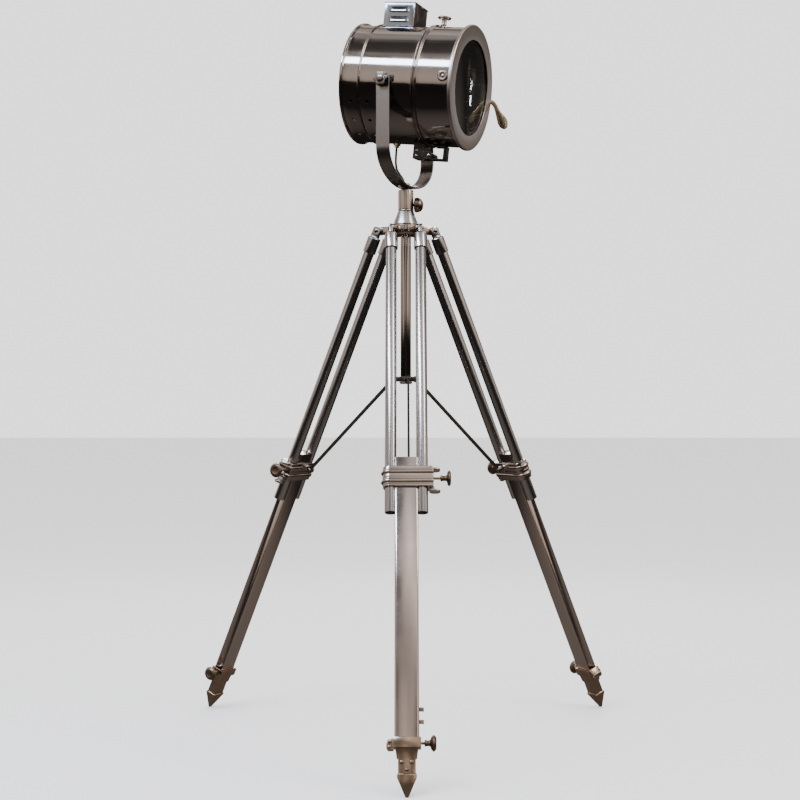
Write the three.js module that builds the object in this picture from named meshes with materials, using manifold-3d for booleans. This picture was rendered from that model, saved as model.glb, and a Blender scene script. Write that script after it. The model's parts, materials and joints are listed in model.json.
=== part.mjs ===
// Tripod floor lamp with a spotlight head, in millimetres, +Z up.
// The lamp stands on three spikes at z = 0. The front leg points along -Y.
// A leg is built in its own frame: origin on its hinge, local z up along the leg,
// local x across the leg (parallel to the hinge) and local y towards the column.
// The head is built in a frame at the tilt pivot: local x forward along the barrel,
// local y along the tilt axis.

import * as THREE from 'three';
import { mergeVertices } from 'three/addons/utils/BufferGeometryUtils.js';
import Module from 'manifold-3d';

const wasm = await Module();
wasm.setup();

// ---------------------------------------------------------------- clearances
const GAP = 0.3;              // between pieces that touch or slide
const OVERLAP = 1;            // how far joined features reach into each other

// ---------------------------------------------------------------- tripod
const LEG_LENGTH = 1236.5;    // hinge axis to the ground, along the leg
const LEG_SPLAY = THREE.MathUtils.degToRad(23.7);
const HINGE_RADIUS = 56;      // hinge axis from the lamp's vertical axis
const LEG_ANGLES = { front: 0, right: 120, left: 240 };
const HINGE_Z = LEG_LENGTH * Math.cos(LEG_SPLAY);

const TUBE_RADIUS = 12;
const TUBE_WALL = 1.5;
const TUBE_SPACING = 65;
const TUBE_SIDES = 12;

const TANG_THICKNESS = 7.6;
const TANG_RADIUS = 10;
const HINGE_PIN_RADIUS = 4;
const FERRULE_TOP = 15;       // below the hinge axis
const FERRULE_LENGTH = 38;
const FERRULE_WALL = 2.45;
const TUBE_TOP = FERRULE_TOP + 7.5;

const CLAMP_CENTRE = 595;     // below the hinge axis
const CLAMP_HEIGHT = 44;
const CLAMP_SKIN = 4.7;        // clamp metal in front of and behind a tube
const CLAMP_DEPTH = 2 * (TUBE_RADIUS + GAP + CLAMP_SKIN);
const CLAMP_WALL = 3.2;
const CLAMP_EAR = 10.2;       // solid ear beyond the right tube
const RIB_HEIGHT = 6;
const RIB_PROUD = 2.5;
const RIB_OFFSET = 10;        // each rib from the middle of the clamp
const TONGUE_THICKNESS = 5;
const TONGUE_WIDTH = 20;
const TONGUE_REACH = 15;      // beyond the ear
const TUBE_TAIL = 53;         // tube ends this far below the clamp

const BAR_SETBACK = 17;       // tube spacing less the bar's width
const BAR_WIDTH = TUBE_SPACING - BAR_SETBACK;
const BAR_DEPTH = 25;
const BAR_WALL = 2;
const GROOVE_WALL = 2.9;      // thinnest metal between a groove and the bore
const BAR_BORE_WIDTH = TUBE_SPACING - 2 * (TUBE_RADIUS + 2 * GAP + GROOVE_WALL);
const BAR_BORE_DEPTH = BAR_DEPTH - 2 * BAR_WALL;
const BAR_ABOVE_CLAMP = 21;

const FOOT_HEIGHT = 110.5;    // shoe's top above the ground, along the leg
const SHOE_TOP = LEG_LENGTH - FOOT_HEIGHT;
const SHOE_WALL = 3;
const SHOE_BAND = 19;
const SHOE_TAPER = 18.5;
const SHOE_BLOCK_WIDTH = 34;
const SHOE_BLOCK_DEPTH = 22;
const SHOE_BLOCK_HEIGHT = 29.5;
const SHOE_TAPER_TOP = { width: 44, depth: 28 };
const SHOE_TAPER_FOOT = { width: 39, depth: 25.5 };
const SHOE_LUG_PROUD = 12;
const SHOE_LUG_HEIGHT = 24;
const SHOE_LUG_DEPTH = 22;

const SPIKE_WIDTH = 38;
const SPIKE_DEPTH = 26;
const SPIKE_RIM = 5;
const SPIKE_BLUNT = 7;        // how far the spike's apex would reach below the floor
const SPIKE_TANG = { width: 20, depth: 10, length: 22 };

// ---------------------------------------------------------------- spreader
const COLUMN_RADIUS = 11.75;
const COLUMN_WALL = 2;
const COLUMN_SIDES = 16;
const COLLAR_DROP = 335.2;    // collar's pins below the hinges
const COLLAR_Z = HINGE_Z - COLLAR_DROP;
const COLLAR_HEIGHT = 11;
const COLLAR_WALL = 3.4;
const COLLAR_PIN_RADIUS = 30; // collar pins from the vertical axis
const LUG_THICKNESS = 5;
const BRACE_THICKNESS = 5;
const BRACE_DEPTH = 13;
const BRACE_EYE_RIM = 1;      // eye beyond the brace's edge
const BRACE_EYE_RADIUS = BRACE_DEPTH / 2 + BRACE_EYE_RIM;
const BRACE_PIN_RADIUS = 3;
const CLAMP_PIN_DROP = 580;   // lower brace pin below the hinge axis
const CLAMP_PIN_INSET = 36;   // lower brace pin inward of the leg's middle plane
const STOP_PROUD = 2.75;      // beyond the column
const STOP_RADIUS = COLUMN_RADIUS + STOP_PROUD;
const STOP_THICKNESS = 5.5;

// ---------------------------------------------------------------- hub and stem
const BOWL_INSET = 3;         // bowl's side inside a tube's middle line
const BOWL_RADIUS = TUBE_SPACING / 2 - BOWL_INSET;
const BOWL_FLARE = 8.5;       // bowl's side beyond its foot
const BOWL_FOOT_RADIUS = BOWL_RADIUS - BOWL_FLARE;
const BOWL_HEIGHT = 23;
const BOWL_TOP = HINGE_Z + 12;
const EAR_THICKNESS = 5;
const EAR_HEIGHT = 20;
const CONE_HEIGHT = 32;
const CONE_INSET = 1.5;       // cone inside the bowl's side
const CONE_BASE_RADIUS = BOWL_RADIUS - CONE_INSET;
const CONE_TOP_RADIUS = 17.8;
const WIRE_BORE_RADIUS = 8;
const SOCKET_RADIUS = 17.3;
const SOCKET_WALL = 4;
const SOCKET_HEIGHT = 46.7;
const SOCKET_BASE = BOWL_TOP + CONE_HEIGHT + GAP;
const SOCKET_TOP = SOCKET_BASE + SOCKET_HEIGHT;
const STEM_KNOB_HEIGHT = 14;  // above the socket's base

// ---------------------------------------------------------------- head
const BARREL_RISE = 13;       // barrel axis above the tilt pivot
const BARREL_RADIUS = 130.5;
const SHEET = 2;
const BARREL_REAR = -106.5;
const SEAM_X = 69.2;
const BARREL_SIDES = 40;
const BEAD_PROUD = 3.8;
const BEAD_HALF = 3;
const REAR_BEAD_X = -60.5;
const REAR_FLANGE_PROUD = 5;
const REAR_FLANGE_WIDTH = 6.5;
const TRUNNION_RADIUS = 15;
const VENT_RADIUS = 4;
const VENT_X = [-80.5, -40.5];
const VENT_ANGLES = [-27, -47, -67];

const CHIMNEY = { x0: -56.3, x1: 17, half: 39, rise: 49, wall: 2 };
const FLUE = { inset: 9, drop: 30 };
const LOUVRE = { length: 43, slot: 7, hood: 5, centres: [14, 36] };

const SLEEVE_RADIUS = BARREL_RADIUS + 1;
const SLEEVE_FRONT = 154.7;
const RIM_FRONT = 157.5;
const RIM_PLATE = 2.5;
const RIM_PROUD = 5.9;        // rim beyond the sleeve
const RIM_RADIUS = SLEEVE_RADIUS + RIM_PROUD;
const RIM_SKIRT = 7.7;
const RIM_WIDTH = 33.4;
const RIM_OPENING = RIM_RADIUS - RIM_WIDTH;
const LENS_THICKNESS = 3;
const RETAINER_DEPTH = 3;
const RETAINER_WIDTH = 9;

const HOLDER_RADIUS = 20;
const HOLDER_LENGTH = 49;
const HOLDER_NECK = 17.5;
const HOLDER_BORE = 14;
const BULB_RADIUS = 30;

const DOOR_HINGE = { x: 79, z: -(BARREL_RADIUS + 25), knuckle: 8.5, pin: 3 };
const HINGE_FOOT = DOOR_HINGE.z - DOOR_HINGE.knuckle;
const BRACKET = { x0: 41, x1: 66, half: 19, foot: HINGE_FOOT };
const LEAF = { half: 15, thickness: 3, x0: 86, x1: 114.5, foot: HINGE_FOOT };
const TOP_SCREW_X = 75;
const SIDE_BOSS = { x: 137, radius: 12, proud: 3 };
const LEVER_ROOM = 0.6;       // between the lever and the rim
const LEVER_GAP = RIM_PROUD + LEVER_ROOM;
const LEVER = { hub: 8, thickness: 4, mid: [31, -10], tip: [58, -55], paddle: 9 };

const GLAND = { x: -7.5, radius: 8.5, flange: 4, neck: 5.5, length: 9 };
const CORD_RADIUS = 2.5;
const CORD_SIDES = 8;
const CORD_STEPS = 14;

// ---------------------------------------------------------------- yoke
const HEAD_YAW = THREE.MathUtils.degToRad(-22);
const HEAD_TILT = THREE.MathUtils.degToRad(6.6);
const YOKE_BASE = SOCKET_TOP + GAP;
const YOKE_STRAP = 4.5;
const ARM_ROOM = 2;           // between the barrel's wall and an arm
const YOKE_HALF = BARREL_RADIUS + ARM_ROOM + YOKE_STRAP / 2;  // to the middle of a strap
const YOKE_WIDTH = 31;
const YOKE_BOW = 75;          // height of the curved part
const SWING_ROOM = 92.5;      // under the barrel, for the hinge and the flex
const PIVOT_HEIGHT = BARREL_RADIUS + SWING_ROOM;
const PIVOT_Z = YOKE_BASE + PIVOT_HEIGHT;
const PIVOT_BOLT_RADIUS = 4;
const SPIGOT_LENGTH = 42;
const SPIGOT_BORE = 9;
const WIRE_HOLE = { x: -5, radius: 3.4 };
const EYE_RING = { x: 6, radius: 4, wire: 1.2 };

// ---------------------------------------------------------------- finishes
const finish = (color, roughness, metalness) =>
  new THREE.MeshStandardMaterial({ color, roughness, metalness });

const nickel = finish(0x8a837c, 0.12, 1);
const brushed = finish(0xa9a9ad, 0.3, 1);
const satin = finish(0x756b66, 0.4, 1);
const bronze = finish(0x6e5842, 0.35, 1);
const blackened = finish(0x2b2623, 0.5, 0.6);
const brass = finish(0xb5935a, 0.3, 1);
const ceramic = finish(0xe8e4da, 0.5, 0);
const glass = finish(0xdfe6ea, 0.05, 0);
const flex = finish(0x0c0c0d, 0.6, 0);

// ---------------------------------------------------------------- solid tools
function bare(geometry) {
  const copy = geometry.clone();
  copy.deleteAttribute('normal');
  copy.deleteAttribute('uv');
  const merged = mergeVertices(copy, 1e-4);
  const source = merged.index.array;
  const kept = [];
  for (let i = 0; i < source.length; i += 3) {
    const [a, b, c] = [source[i], source[i + 1], source[i + 2]];
    if (a !== b && b !== c && c !== a) {
      kept.push(a, b, c);
    }
  }
  merged.setIndex(kept);
  return merged;
}

function solid(geometry) {
  const clean = bare(geometry);
  return new wasm.Manifold(new wasm.Mesh({
    numProp: 3,
    vertProperties: new Float32Array(clean.attributes.position.array),
    triVerts: new Uint32Array(clean.index.array),
  }));
}

function shell(body) {
  const mesh = body.getMesh();
  const geometry = new THREE.BufferGeometry();
  geometry.setAttribute('position', new THREE.BufferAttribute(mesh.vertProperties, 3));
  geometry.setIndex(new THREE.BufferAttribute(mesh.triVerts, 1));
  geometry.computeVertexNormals();
  return geometry;
}

function carve({ join = [], cut = [], keep = [] }) {
  let body = solid(join[0]);
  join.slice(1).forEach((piece) => { body = body.add(solid(piece)); });
  keep.forEach((piece) => { body = body.intersect(solid(piece)); });
  cut.forEach((piece) => { body = body.subtract(solid(piece)); });
  return shell(body);
}

function box(x0, x1, y0, y1, z0, z1) {
  const geometry = new THREE.BoxGeometry(x1 - x0, y1 - y0, z1 - z0);
  return geometry.translate((x0 + x1) / 2, (y0 + y1) / 2, (z0 + z1) / 2);
}

// A solid or ring turned about z: [radius, z] points run anticlockwise round the section.
function turned(points, sides) {
  const profile = points.map(([r, z]) => new THREE.Vector2(r, z));
  return new THREE.LatheGeometry(profile, sides).rotateX(Math.PI / 2);
}

function ringProfile(inner, outer, z0, z1) {
  return [[inner, z0], [outer, z0], [outer, z1], [inner, z1], [inner, z0]];
}

function rod(radius, z0, z1, sides = 12) {
  return turned([[0, z0], [radius, z0], [radius, z1], [0, z1]], sides);
}

const alongX = (geometry) => geometry.rotateY(Math.PI / 2);
const alongY = (geometry) => geometry.rotateX(-Math.PI / 2);

function slab(points, z0, z1) {
  const shape = Array.isArray(points)
    ? new THREE.Shape(points.map(([x, y]) => new THREE.Vector2(x, y)))
    : points;
  const options = { depth: z1 - z0, bevelEnabled: false, curveSegments: 2 };
  return new THREE.ExtrudeGeometry(shape, options).translate(0, 0, z0);
}

function roundedOutline(x0, x1, y0, y1, leftRadius, rightRadius) {
  const shape = new THREE.Shape();
  const quarter = Math.PI / 2;
  shape.absarc(x1 - rightRadius, y0 + rightRadius, rightRadius, -quarter, 0, false);
  shape.absarc(x1 - rightRadius, y1 - rightRadius, rightRadius, 0, quarter, false);
  shape.absarc(x0 + leftRadius, y1 - leftRadius, leftRadius, quarter, Math.PI, false);
  shape.absarc(x0 + leftRadius, y0 + leftRadius, leftRadius, Math.PI, 3 * quarter, false);
  shape.closePath();
  return shape;
}

// A column of rectangles, each { z, width, depth }, listed from the bottom up.
function rectangleLoft(levels) {
  const positions = [];
  levels.forEach(({ z, width, depth }) => {
    positions.push(-width / 2, -depth / 2, z, width / 2, -depth / 2, z);
    positions.push(width / 2, depth / 2, z, -width / 2, depth / 2, z);
  });
  const index = [0, 2, 1, 0, 3, 2];
  for (let level = 0; level < levels.length - 1; level += 1) {
    const low = level * 4;
    for (let side = 0; side < 4; side += 1) {
      const a = low + side;
      const b = low + (side + 1) % 4;
      index.push(a, b, b + 4, a, b + 4, a + 4);
    }
  }
  const top = (levels.length - 1) * 4;
  index.push(top, top + 1, top + 2, top, top + 2, top + 3);
  const geometry = new THREE.BufferGeometry();
  geometry.setAttribute('position', new THREE.Float32BufferAttribute(positions, 3));
  geometry.setIndex(index);
  geometry.computeVertexNormals();
  return geometry;
}

// A thumb screw standing on z = 0: thread below, then stem, then a round-edged wheel.
function thumbScrew({ thread, reach, stem, wheel, wheelThickness }) {
  const threadRadius = 3;
  const stemRadius = 6.4;
  const edge = wheelThickness * 0.3;
  const top = stem + wheelThickness;
  return turned([
    [0, -thread], [threadRadius, -thread], [threadRadius, reach],
    [stemRadius, reach + 0.8], [stemRadius, reach + stem],
    [wheel - edge, reach + stem], [wheel, reach + stem + edge],
    [wheel, reach + top - edge], [wheel - edge, reach + top], [0, reach + top],
  ], 14);
}

const SCREW_BORE = 3 + GAP + 0.1;

// ---------------------------------------------------------------- scene graph
const lamp = new THREE.Group();

function part(parent, name, geometry, material) {
  const mesh = new THREE.Mesh(geometry, material);
  mesh.name = name;
  parent.add(mesh);
  return mesh;
}

// ---------------------------------------------------------------- hub
function hubSpider() {
  const foot = BOWL_TOP - BOWL_HEIGHT;
  const bowl = turned([
    [0, foot], [BOWL_FOOT_RADIUS, foot], [BOWL_RADIUS - 3, foot + 4],
    [BOWL_RADIUS, foot + 10], [BOWL_RADIUS, BOWL_TOP], [0, BOWL_TOP],
  ], 24);
  const outer = TUBE_SPACING / 2 - TANG_THICKNESS / 2 - GAP;
  const inner = outer - EAR_THICKNESS;
  const ears = [];
  const bores = [];
  Object.values(LEG_ANGLES).forEach((degrees) => {
    const turn = THREE.MathUtils.degToRad(degrees);
    [[inner, outer], [-outer, -inner]].forEach(([x0, x1]) => {
      const reach = HINGE_RADIUS;
      const plate = box(x0, x1, -reach, -14, HINGE_Z - EAR_HEIGHT / 2, HINGE_Z + EAR_HEIGHT / 2);
      const nose = alongX(rod(EAR_HEIGHT / 2, x0, x1)).translate(0, -reach, HINGE_Z);
      ears.push(plate.rotateZ(turn), nose.rotateZ(turn));
    });
    const bore = alongX(rod(HINGE_PIN_RADIUS + GAP, -outer - OVERLAP, outer + OVERLAP));
    bores.push(bore.translate(0, -HINGE_RADIUS, HINGE_Z).rotateZ(turn));
  });
  const columnBore = rod(COLUMN_RADIUS + GAP, foot - OVERLAP, BOWL_TOP - 3, COLUMN_SIDES);
  const wireBore = rod(WIRE_BORE_RADIUS, foot, BOWL_TOP + OVERLAP);
  return carve({ join: [bowl, ...ears], cut: [columnBore, wireBore, ...bores] });
}

function hubCone() {
  const base = BOWL_TOP + GAP;
  const top = BOWL_TOP + CONE_HEIGHT;
  return turned([
    [WIRE_BORE_RADIUS, base], [CONE_BASE_RADIUS, base], [CONE_TOP_RADIUS, top],
    [WIRE_BORE_RADIUS, top], [WIRE_BORE_RADIUS, base],
  ], 24);
}

function stemSocket() {
  const inner = SOCKET_RADIUS - SOCKET_WALL;
  const tube = turned(ringProfile(inner, SOCKET_RADIUS, SOCKET_BASE, SOCKET_TOP), 24);
  const bore = alongX(rod(SCREW_BORE, inner - OVERLAP, SOCKET_RADIUS + OVERLAP, 12));
  return carve({ join: [tube], cut: [bore.translate(0, 0, SOCKET_BASE + STEM_KNOB_HEIGHT)] });
}

function stemLockKnob() {
  const tip = SOCKET_RADIUS - SOCKET_WALL;
  const face = SOCKET_RADIUS + 3.2;
  return alongX(turned([
    [0, tip], [3, tip], [3, face], [15, face], [17, face + 2], [17, face + 7],
    [15, face + 13], [10, face + 17.5], [0, face + 19.5],
  ], 14));
}

function centreColumn() {
  const foot = COLLAR_Z - COLLAR_HEIGHT / 2;
  const top = BOWL_TOP - 3 - GAP;
  return turned(ringProfile(COLUMN_RADIUS - COLUMN_WALL, COLUMN_RADIUS, foot, top), COLUMN_SIDES);
}

function columnStop() {
  const top = COLLAR_Z - COLLAR_HEIGHT / 2 - GAP;
  const plug = COLUMN_RADIUS - COLUMN_WALL - GAP;
  const foot = top - STOP_THICKNESS;
  return turned([
    [0, foot], [STOP_RADIUS - 3, foot], [STOP_RADIUS, foot + 2], [STOP_RADIUS, top],
    [plug, top], [plug, top + 12], [0, top + 12],
  ], COLUMN_SIDES);
}

const braceFace = LUG_THICKNESS / 2 + GAP;

// The sliding collar: a sleeve with a lug and a pin for each brace.
function braceCollar() {
  const inner = COLUMN_RADIUS + GAP;
  const outer = inner + COLLAR_WALL;
  const half = COLLAR_HEIGHT / 2;
  const sleeve = turned(ringProfile(inner, outer, -half, half), COLUMN_SIDES);
  const pieces = [sleeve];
  Object.values(LEG_ANGLES).forEach((degrees) => {
    const turn = THREE.MathUtils.degToRad(degrees);
    const side = LUG_THICKNESS / 2;
    const start = outer - OVERLAP;
    const plate = box(-side, side, -COLLAR_PIN_RADIUS, -start, -half, half);
    const nose = alongX(rod(half, -side, side, 10)).translate(0, -COLLAR_PIN_RADIUS, 0);
    const pinEnd = braceFace + BRACE_THICKNESS + 0.6;
    const pin = alongX(rod(BRACE_PIN_RADIUS, 0, pinEnd, 10)).translate(0, -COLLAR_PIN_RADIUS, 0);
    pieces.push(plate.rotateZ(turn), nose.rotateZ(turn), pin.rotateZ(turn));
  });
  return carve({ join: pieces });
}

// ---------------------------------------------------------------- leg pieces
// Ferrule with its flat tang and the pin that turns in the spider's ear.
function ferrule(side) {
  const low = -(FERRULE_TOP + FERRULE_LENGTH);
  const radius = TUBE_RADIUS + GAP + FERRULE_WALL;
  const half = TANG_THICKNESS / 2;
  const cup = rod(radius, low, -FERRULE_TOP, TUBE_SIDES);
  const tang = box(-half, half, -TANG_RADIUS, TANG_RADIUS, -FERRULE_TOP - OVERLAP, 0);
  const nose = alongX(rod(TANG_RADIUS, -half, half));
  const pinEnd = half + GAP + EAR_THICKNESS;
  const pin = alongX(rod(HINGE_PIN_RADIUS, 0, pinEnd));
  if (side > 0) {
    pin.rotateZ(Math.PI);
  }
  const bore = rod(TUBE_RADIUS + GAP, low - OVERLAP, -TUBE_TOP + GAP, TUBE_SIDES);
  return carve({ join: [cup, tang, nose, pin], cut: [bore] });
}

function legTube() {
  const foot = -(CLAMP_CENTRE + CLAMP_HEIGHT / 2 + TUBE_TAIL);
  return turned(ringProfile(TUBE_RADIUS - TUBE_WALL, TUBE_RADIUS, foot, -TUBE_TOP), TUBE_SIDES);
}

const clampLeft = -(TUBE_SPACING / 2 + TUBE_RADIUS + GAP + CLAMP_WALL);
const clampRight = TUBE_SPACING / 2 + TUBE_RADIUS + GAP + CLAMP_EAR;
const clampTop = -(CLAMP_CENTRE - CLAMP_HEIGHT / 2);
const clampFoot = -(CLAMP_CENTRE + CLAMP_HEIGHT / 2);

function clampOutline(grow) {
  const half = CLAMP_DEPTH / 2 + grow;
  return roundedOutline(clampLeft - grow, clampRight + grow * 0.4, -half, half, 13 + grow, 2);
}

function clampTongue(z) {
  const half = TONGUE_WIDTH / 2;
  const tip = clampRight + TONGUE_REACH - half;
  const plate = box(clampRight - OVERLAP, tip, -half, half, z, z + TONGUE_THICKNESS);
  const nose = rod(half, z, z + TONGUE_THICKNESS).translate(tip, 0, 0);
  return [plate, nose];
}

function clamp() {
  const join = [slab(clampOutline(0), clampFoot, clampTop)];
  [-RIB_OFFSET, RIB_OFFSET].forEach((offset) => {
    const z = -CLAMP_CENTRE + offset;
    join.push(slab(clampOutline(RIB_PROUD), z - RIB_HEIGHT / 2, z + RIB_HEIGHT / 2));
  });
  join.push(...clampTongue(clampTop - TONGUE_THICKNESS - 1));
  join.push(...clampTongue(clampFoot - 1));
  const side = LUG_THICKNESS / 2;
  const start = CLAMP_DEPTH / 2 - OVERLAP;
  const eye = BRACE_EYE_RADIUS;
  const pinZ = -CLAMP_PIN_DROP;
  join.push(box(-side, side, start, CLAMP_PIN_INSET, pinZ - eye, pinZ + eye));
  join.push(alongX(rod(eye, -side, side)).translate(0, CLAMP_PIN_INSET, pinZ));
  const holes = [-1, 1].map((sign) => {
    const hole = rod(TUBE_RADIUS + GAP, clampFoot - 3, clampTop + 3, TUBE_SIDES);
    return hole.translate(sign * TUBE_SPACING / 2, 0, 0);
  });
  const slotHalf = BAR_WIDTH / 2 + GAP;
  const slotDepth = BAR_DEPTH / 2 + GAP;
  const slot = box(-slotHalf, slotHalf, -slotDepth, slotDepth, clampFoot - 3, clampTop + 3);
  const bore = alongX(rod(SCREW_BORE, clampRight - CLAMP_EAR - OVERLAP, clampRight + 3, 12));
  return carve({ join, cut: [...holes, slot, bore.translate(0, 0, -CLAMP_CENTRE)] });
}

function barOutline() {
  const halfWidth = BAR_WIDTH / 2;
  const halfDepth = BAR_DEPTH / 2;
  const centre = TUBE_SPACING / 2;
  const radius = TUBE_RADIUS + 2 * GAP;
  const lip = Math.asin(Math.min(1, Math.sqrt(radius ** 2 - (centre - halfWidth) ** 2) / radius));
  const shape = new THREE.Shape();
  shape.moveTo(-halfWidth, -halfDepth);
  shape.lineTo(halfWidth, -halfDepth);
  shape.absarc(centre, 0, radius, Math.PI + lip, Math.PI - lip, true);
  shape.lineTo(halfWidth, halfDepth);
  shape.lineTo(-halfWidth, halfDepth);
  shape.absarc(-centre, 0, radius, lip, -lip, true);
  shape.closePath();
  const bore = new THREE.Path();
  bore.moveTo(-BAR_BORE_WIDTH / 2, -BAR_BORE_DEPTH / 2);
  bore.lineTo(-BAR_BORE_WIDTH / 2, BAR_BORE_DEPTH / 2);
  bore.lineTo(BAR_BORE_WIDTH / 2, BAR_BORE_DEPTH / 2);
  bore.lineTo(BAR_BORE_WIDTH / 2, -BAR_BORE_DEPTH / 2);
  bore.closePath();
  shape.holes.push(bore);
  return shape;
}

const barTop = clampTop + BAR_ABOVE_CLAMP;
const bandFoot = -(SHOE_TOP + SHOE_BAND);
const barFoot = bandFoot + 1.5;

function lowerBar() {
  return slab(barOutline(), barFoot, barTop);
}

function footShoe() {
  const bandWidth = BAR_WIDTH + 2 * (GAP + SHOE_WALL);
  const bandDepth = BAR_DEPTH + 2 * (GAP + SHOE_WALL);
  const taperFoot = bandFoot - SHOE_TAPER;
  const blockFoot = taperFoot - SHOE_BLOCK_HEIGHT;
  const body = rectangleLoft([
    { z: blockFoot, width: SHOE_BLOCK_WIDTH, depth: SHOE_BLOCK_DEPTH },
    { z: taperFoot, width: SHOE_BLOCK_WIDTH, depth: SHOE_BLOCK_DEPTH },
    { z: taperFoot, ...SHOE_TAPER_FOOT },
    { z: bandFoot, ...SHOE_TAPER_TOP },
    { z: bandFoot, width: bandWidth, depth: bandDepth },
    { z: -SHOE_TOP, width: bandWidth, depth: bandDepth },
  ]);
  const lugSide = -(bandWidth / 2 + SHOE_LUG_PROUD);
  const lugHalf = SHOE_LUG_DEPTH / 2;
  const lugFoot = bandFoot - 4;
  const lug = alongY(slab([
    [-bandWidth / 2 + 2, -lugFoot], [lugSide + 3, -lugFoot], [lugSide, -lugFoot - 5],
    [lugSide, -lugFoot - SHOE_LUG_HEIGHT + 12], [-bandWidth / 2 + 2, -lugFoot - SHOE_LUG_HEIGHT],
  ].reverse(), -lugHalf, lugHalf));
  const halfWidth = BAR_WIDTH / 2 + GAP;
  const halfDepth = BAR_DEPTH / 2 + GAP;
  const pocket = box(-halfWidth, halfWidth, -halfDepth, halfDepth, barFoot - GAP, 0);
  const screwZ = bandFoot + SHOE_BAND / 2;
  const bore = alongX(rod(SCREW_BORE, halfWidth - OVERLAP, bandWidth / 2 + OVERLAP, 12));
  const tangHalfWidth = SPIKE_TANG.width / 2 + GAP;
  const tangHalfDepth = SPIKE_TANG.depth / 2 + GAP;
  const tangTop = blockFoot - GAP + SPIKE_TANG.length + GAP;
  const tangPocket = box(-tangHalfWidth, tangHalfWidth, -tangHalfDepth, tangHalfDepth,
    blockFoot - OVERLAP, tangTop);
  return carve({
    join: [body, lug],
    cut: [pocket, bore.translate(0, 0, screwZ), tangPocket],
  });
}

// The spike is a pyramid whose tip is cut flat on the floor the lamp stands on.
function spike() {
  const top = bandFoot - SHOE_TAPER - SHOE_BLOCK_HEIGHT - GAP;
  const apex = -(LEG_LENGTH + SPIKE_BLUNT);
  const tip = 0.4;
  const body = rectangleLoft([
    { z: apex, width: tip, depth: tip },
    { z: top - SPIKE_RIM, width: SPIKE_WIDTH, depth: SPIKE_DEPTH },
    { z: top - 1.5, width: SPIKE_WIDTH, depth: SPIKE_DEPTH },
    { z: top, width: SPIKE_WIDTH - 3, depth: SPIKE_DEPTH - 3 },
  ]);
  const halfWidth = SPIKE_TANG.width / 2;
  const halfDepth = SPIKE_TANG.depth / 2;
  const tang = box(-halfWidth, halfWidth, -halfDepth, halfDepth,
    top - OVERLAP, top + SPIKE_TANG.length);
  const floor = box(-60, 60, -60, 60, -60, 0).rotateX(LEG_SPLAY).translate(0, 0, -LEG_LENGTH);
  return carve({ join: [body, tang], cut: [floor] });
}

// A flat brace hanging from its collar pin, which is at its origin, lower eye down.
function brace(length) {
  const x0 = braceFace;
  const x1 = braceFace + BRACE_THICKNESS;
  const half = BRACE_DEPTH / 2;
  const bar = box(x0, x1, -half, half, -length, 0);
  const eyes = [0, -length].map((z) =>
    alongX(rod(BRACE_EYE_RADIUS, x0, x1)).translate(0, 0, z));
  const bore = alongX(rod(BRACE_PIN_RADIUS + GAP, x0 - OVERLAP, x1 + OVERLAP, 10));
  return carve({ join: [bar, ...eyes], cut: [bore] });
}

// Lower brace pin in the vertical plane of its leg: distance outward and height.
function clampPin() {
  const out = HINGE_RADIUS + CLAMP_PIN_DROP * Math.sin(LEG_SPLAY)
    - CLAMP_PIN_INSET * Math.cos(LEG_SPLAY);
  const height = HINGE_Z - CLAMP_PIN_DROP * Math.cos(LEG_SPLAY)
    - CLAMP_PIN_INSET * Math.sin(LEG_SPLAY);
  return { out, height };
}

function addLeg(name, degrees) {
  const turned120 = new THREE.Group();
  turned120.rotation.z = THREE.MathUtils.degToRad(degrees);
  lamp.add(turned120);

  const leg = new THREE.Group();
  leg.name = `${name}_leg`;
  leg.position.set(0, -HINGE_RADIUS, HINGE_Z);
  leg.rotation.x = -LEG_SPLAY;
  turned120.add(leg);

  [['a', -1], ['b', 1]].forEach(([letter, side]) => {
    const x = side * TUBE_SPACING / 2;
    part(leg, `${name}_ferrule_${letter}`, ferrule(side), brushed).position.x = x;
    part(leg, `${name}_tube_${letter}`, legTube(), brushed).position.x = x;
  });
  part(leg, `${name}_clamp`, clamp(), nickel);
  part(leg, `${name}_lower_bar`, lowerBar(), nickel);
  part(leg, `${name}_foot_shoe`, footShoe(), bronze);
  part(leg, `${name}_spike`, spike(), bronze);

  const clampScrew = alongX(thumbScrew({
    thread: CLAMP_EAR - 1.2, reach: 15, stem: 14, wheel: 16.5, wheelThickness: 8,
  }));
  part(leg, `${name}_clamp_screw`, clampScrew, bronze)
    .position.set(clampRight, 0, -CLAMP_CENTRE);

  const footScrew = alongX(thumbScrew({
    thread: SHOE_WALL - 0.2, reach: 6.5, stem: 12, wheel: 16, wheelThickness: 11,
  }));
  part(leg, `${name}_foot_screw`, footScrew, bronze)
    .position.set(BAR_WIDTH / 2 + GAP + SHOE_WALL, 0, bandFoot + SHOE_BAND / 2);

  const pin = clampPin();
  const run = pin.out - COLLAR_PIN_RADIUS;
  const drop = COLLAR_Z - pin.height;
  const mesh = part(turned120, `${name}_brace`, brace(Math.hypot(run, drop)), blackened);
  mesh.position.set(0, -COLLAR_PIN_RADIUS, COLLAR_Z);
  mesh.rotation.x = -Math.atan2(run, drop);
}

// ---------------------------------------------------------------- yoke pieces
function bowPoints(halfWidth, foot, steps) {
  const springing = YOKE_BASE + YOKE_STRAP + YOKE_BOW;
  const depth = springing - foot;
  const points = [];
  for (let i = 0; i <= steps; i += 1) {
    const angle = Math.PI * i / steps;
    points.push([halfWidth * Math.cos(angle), springing - depth * Math.sin(angle)]);
  }
  return points;
}

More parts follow.
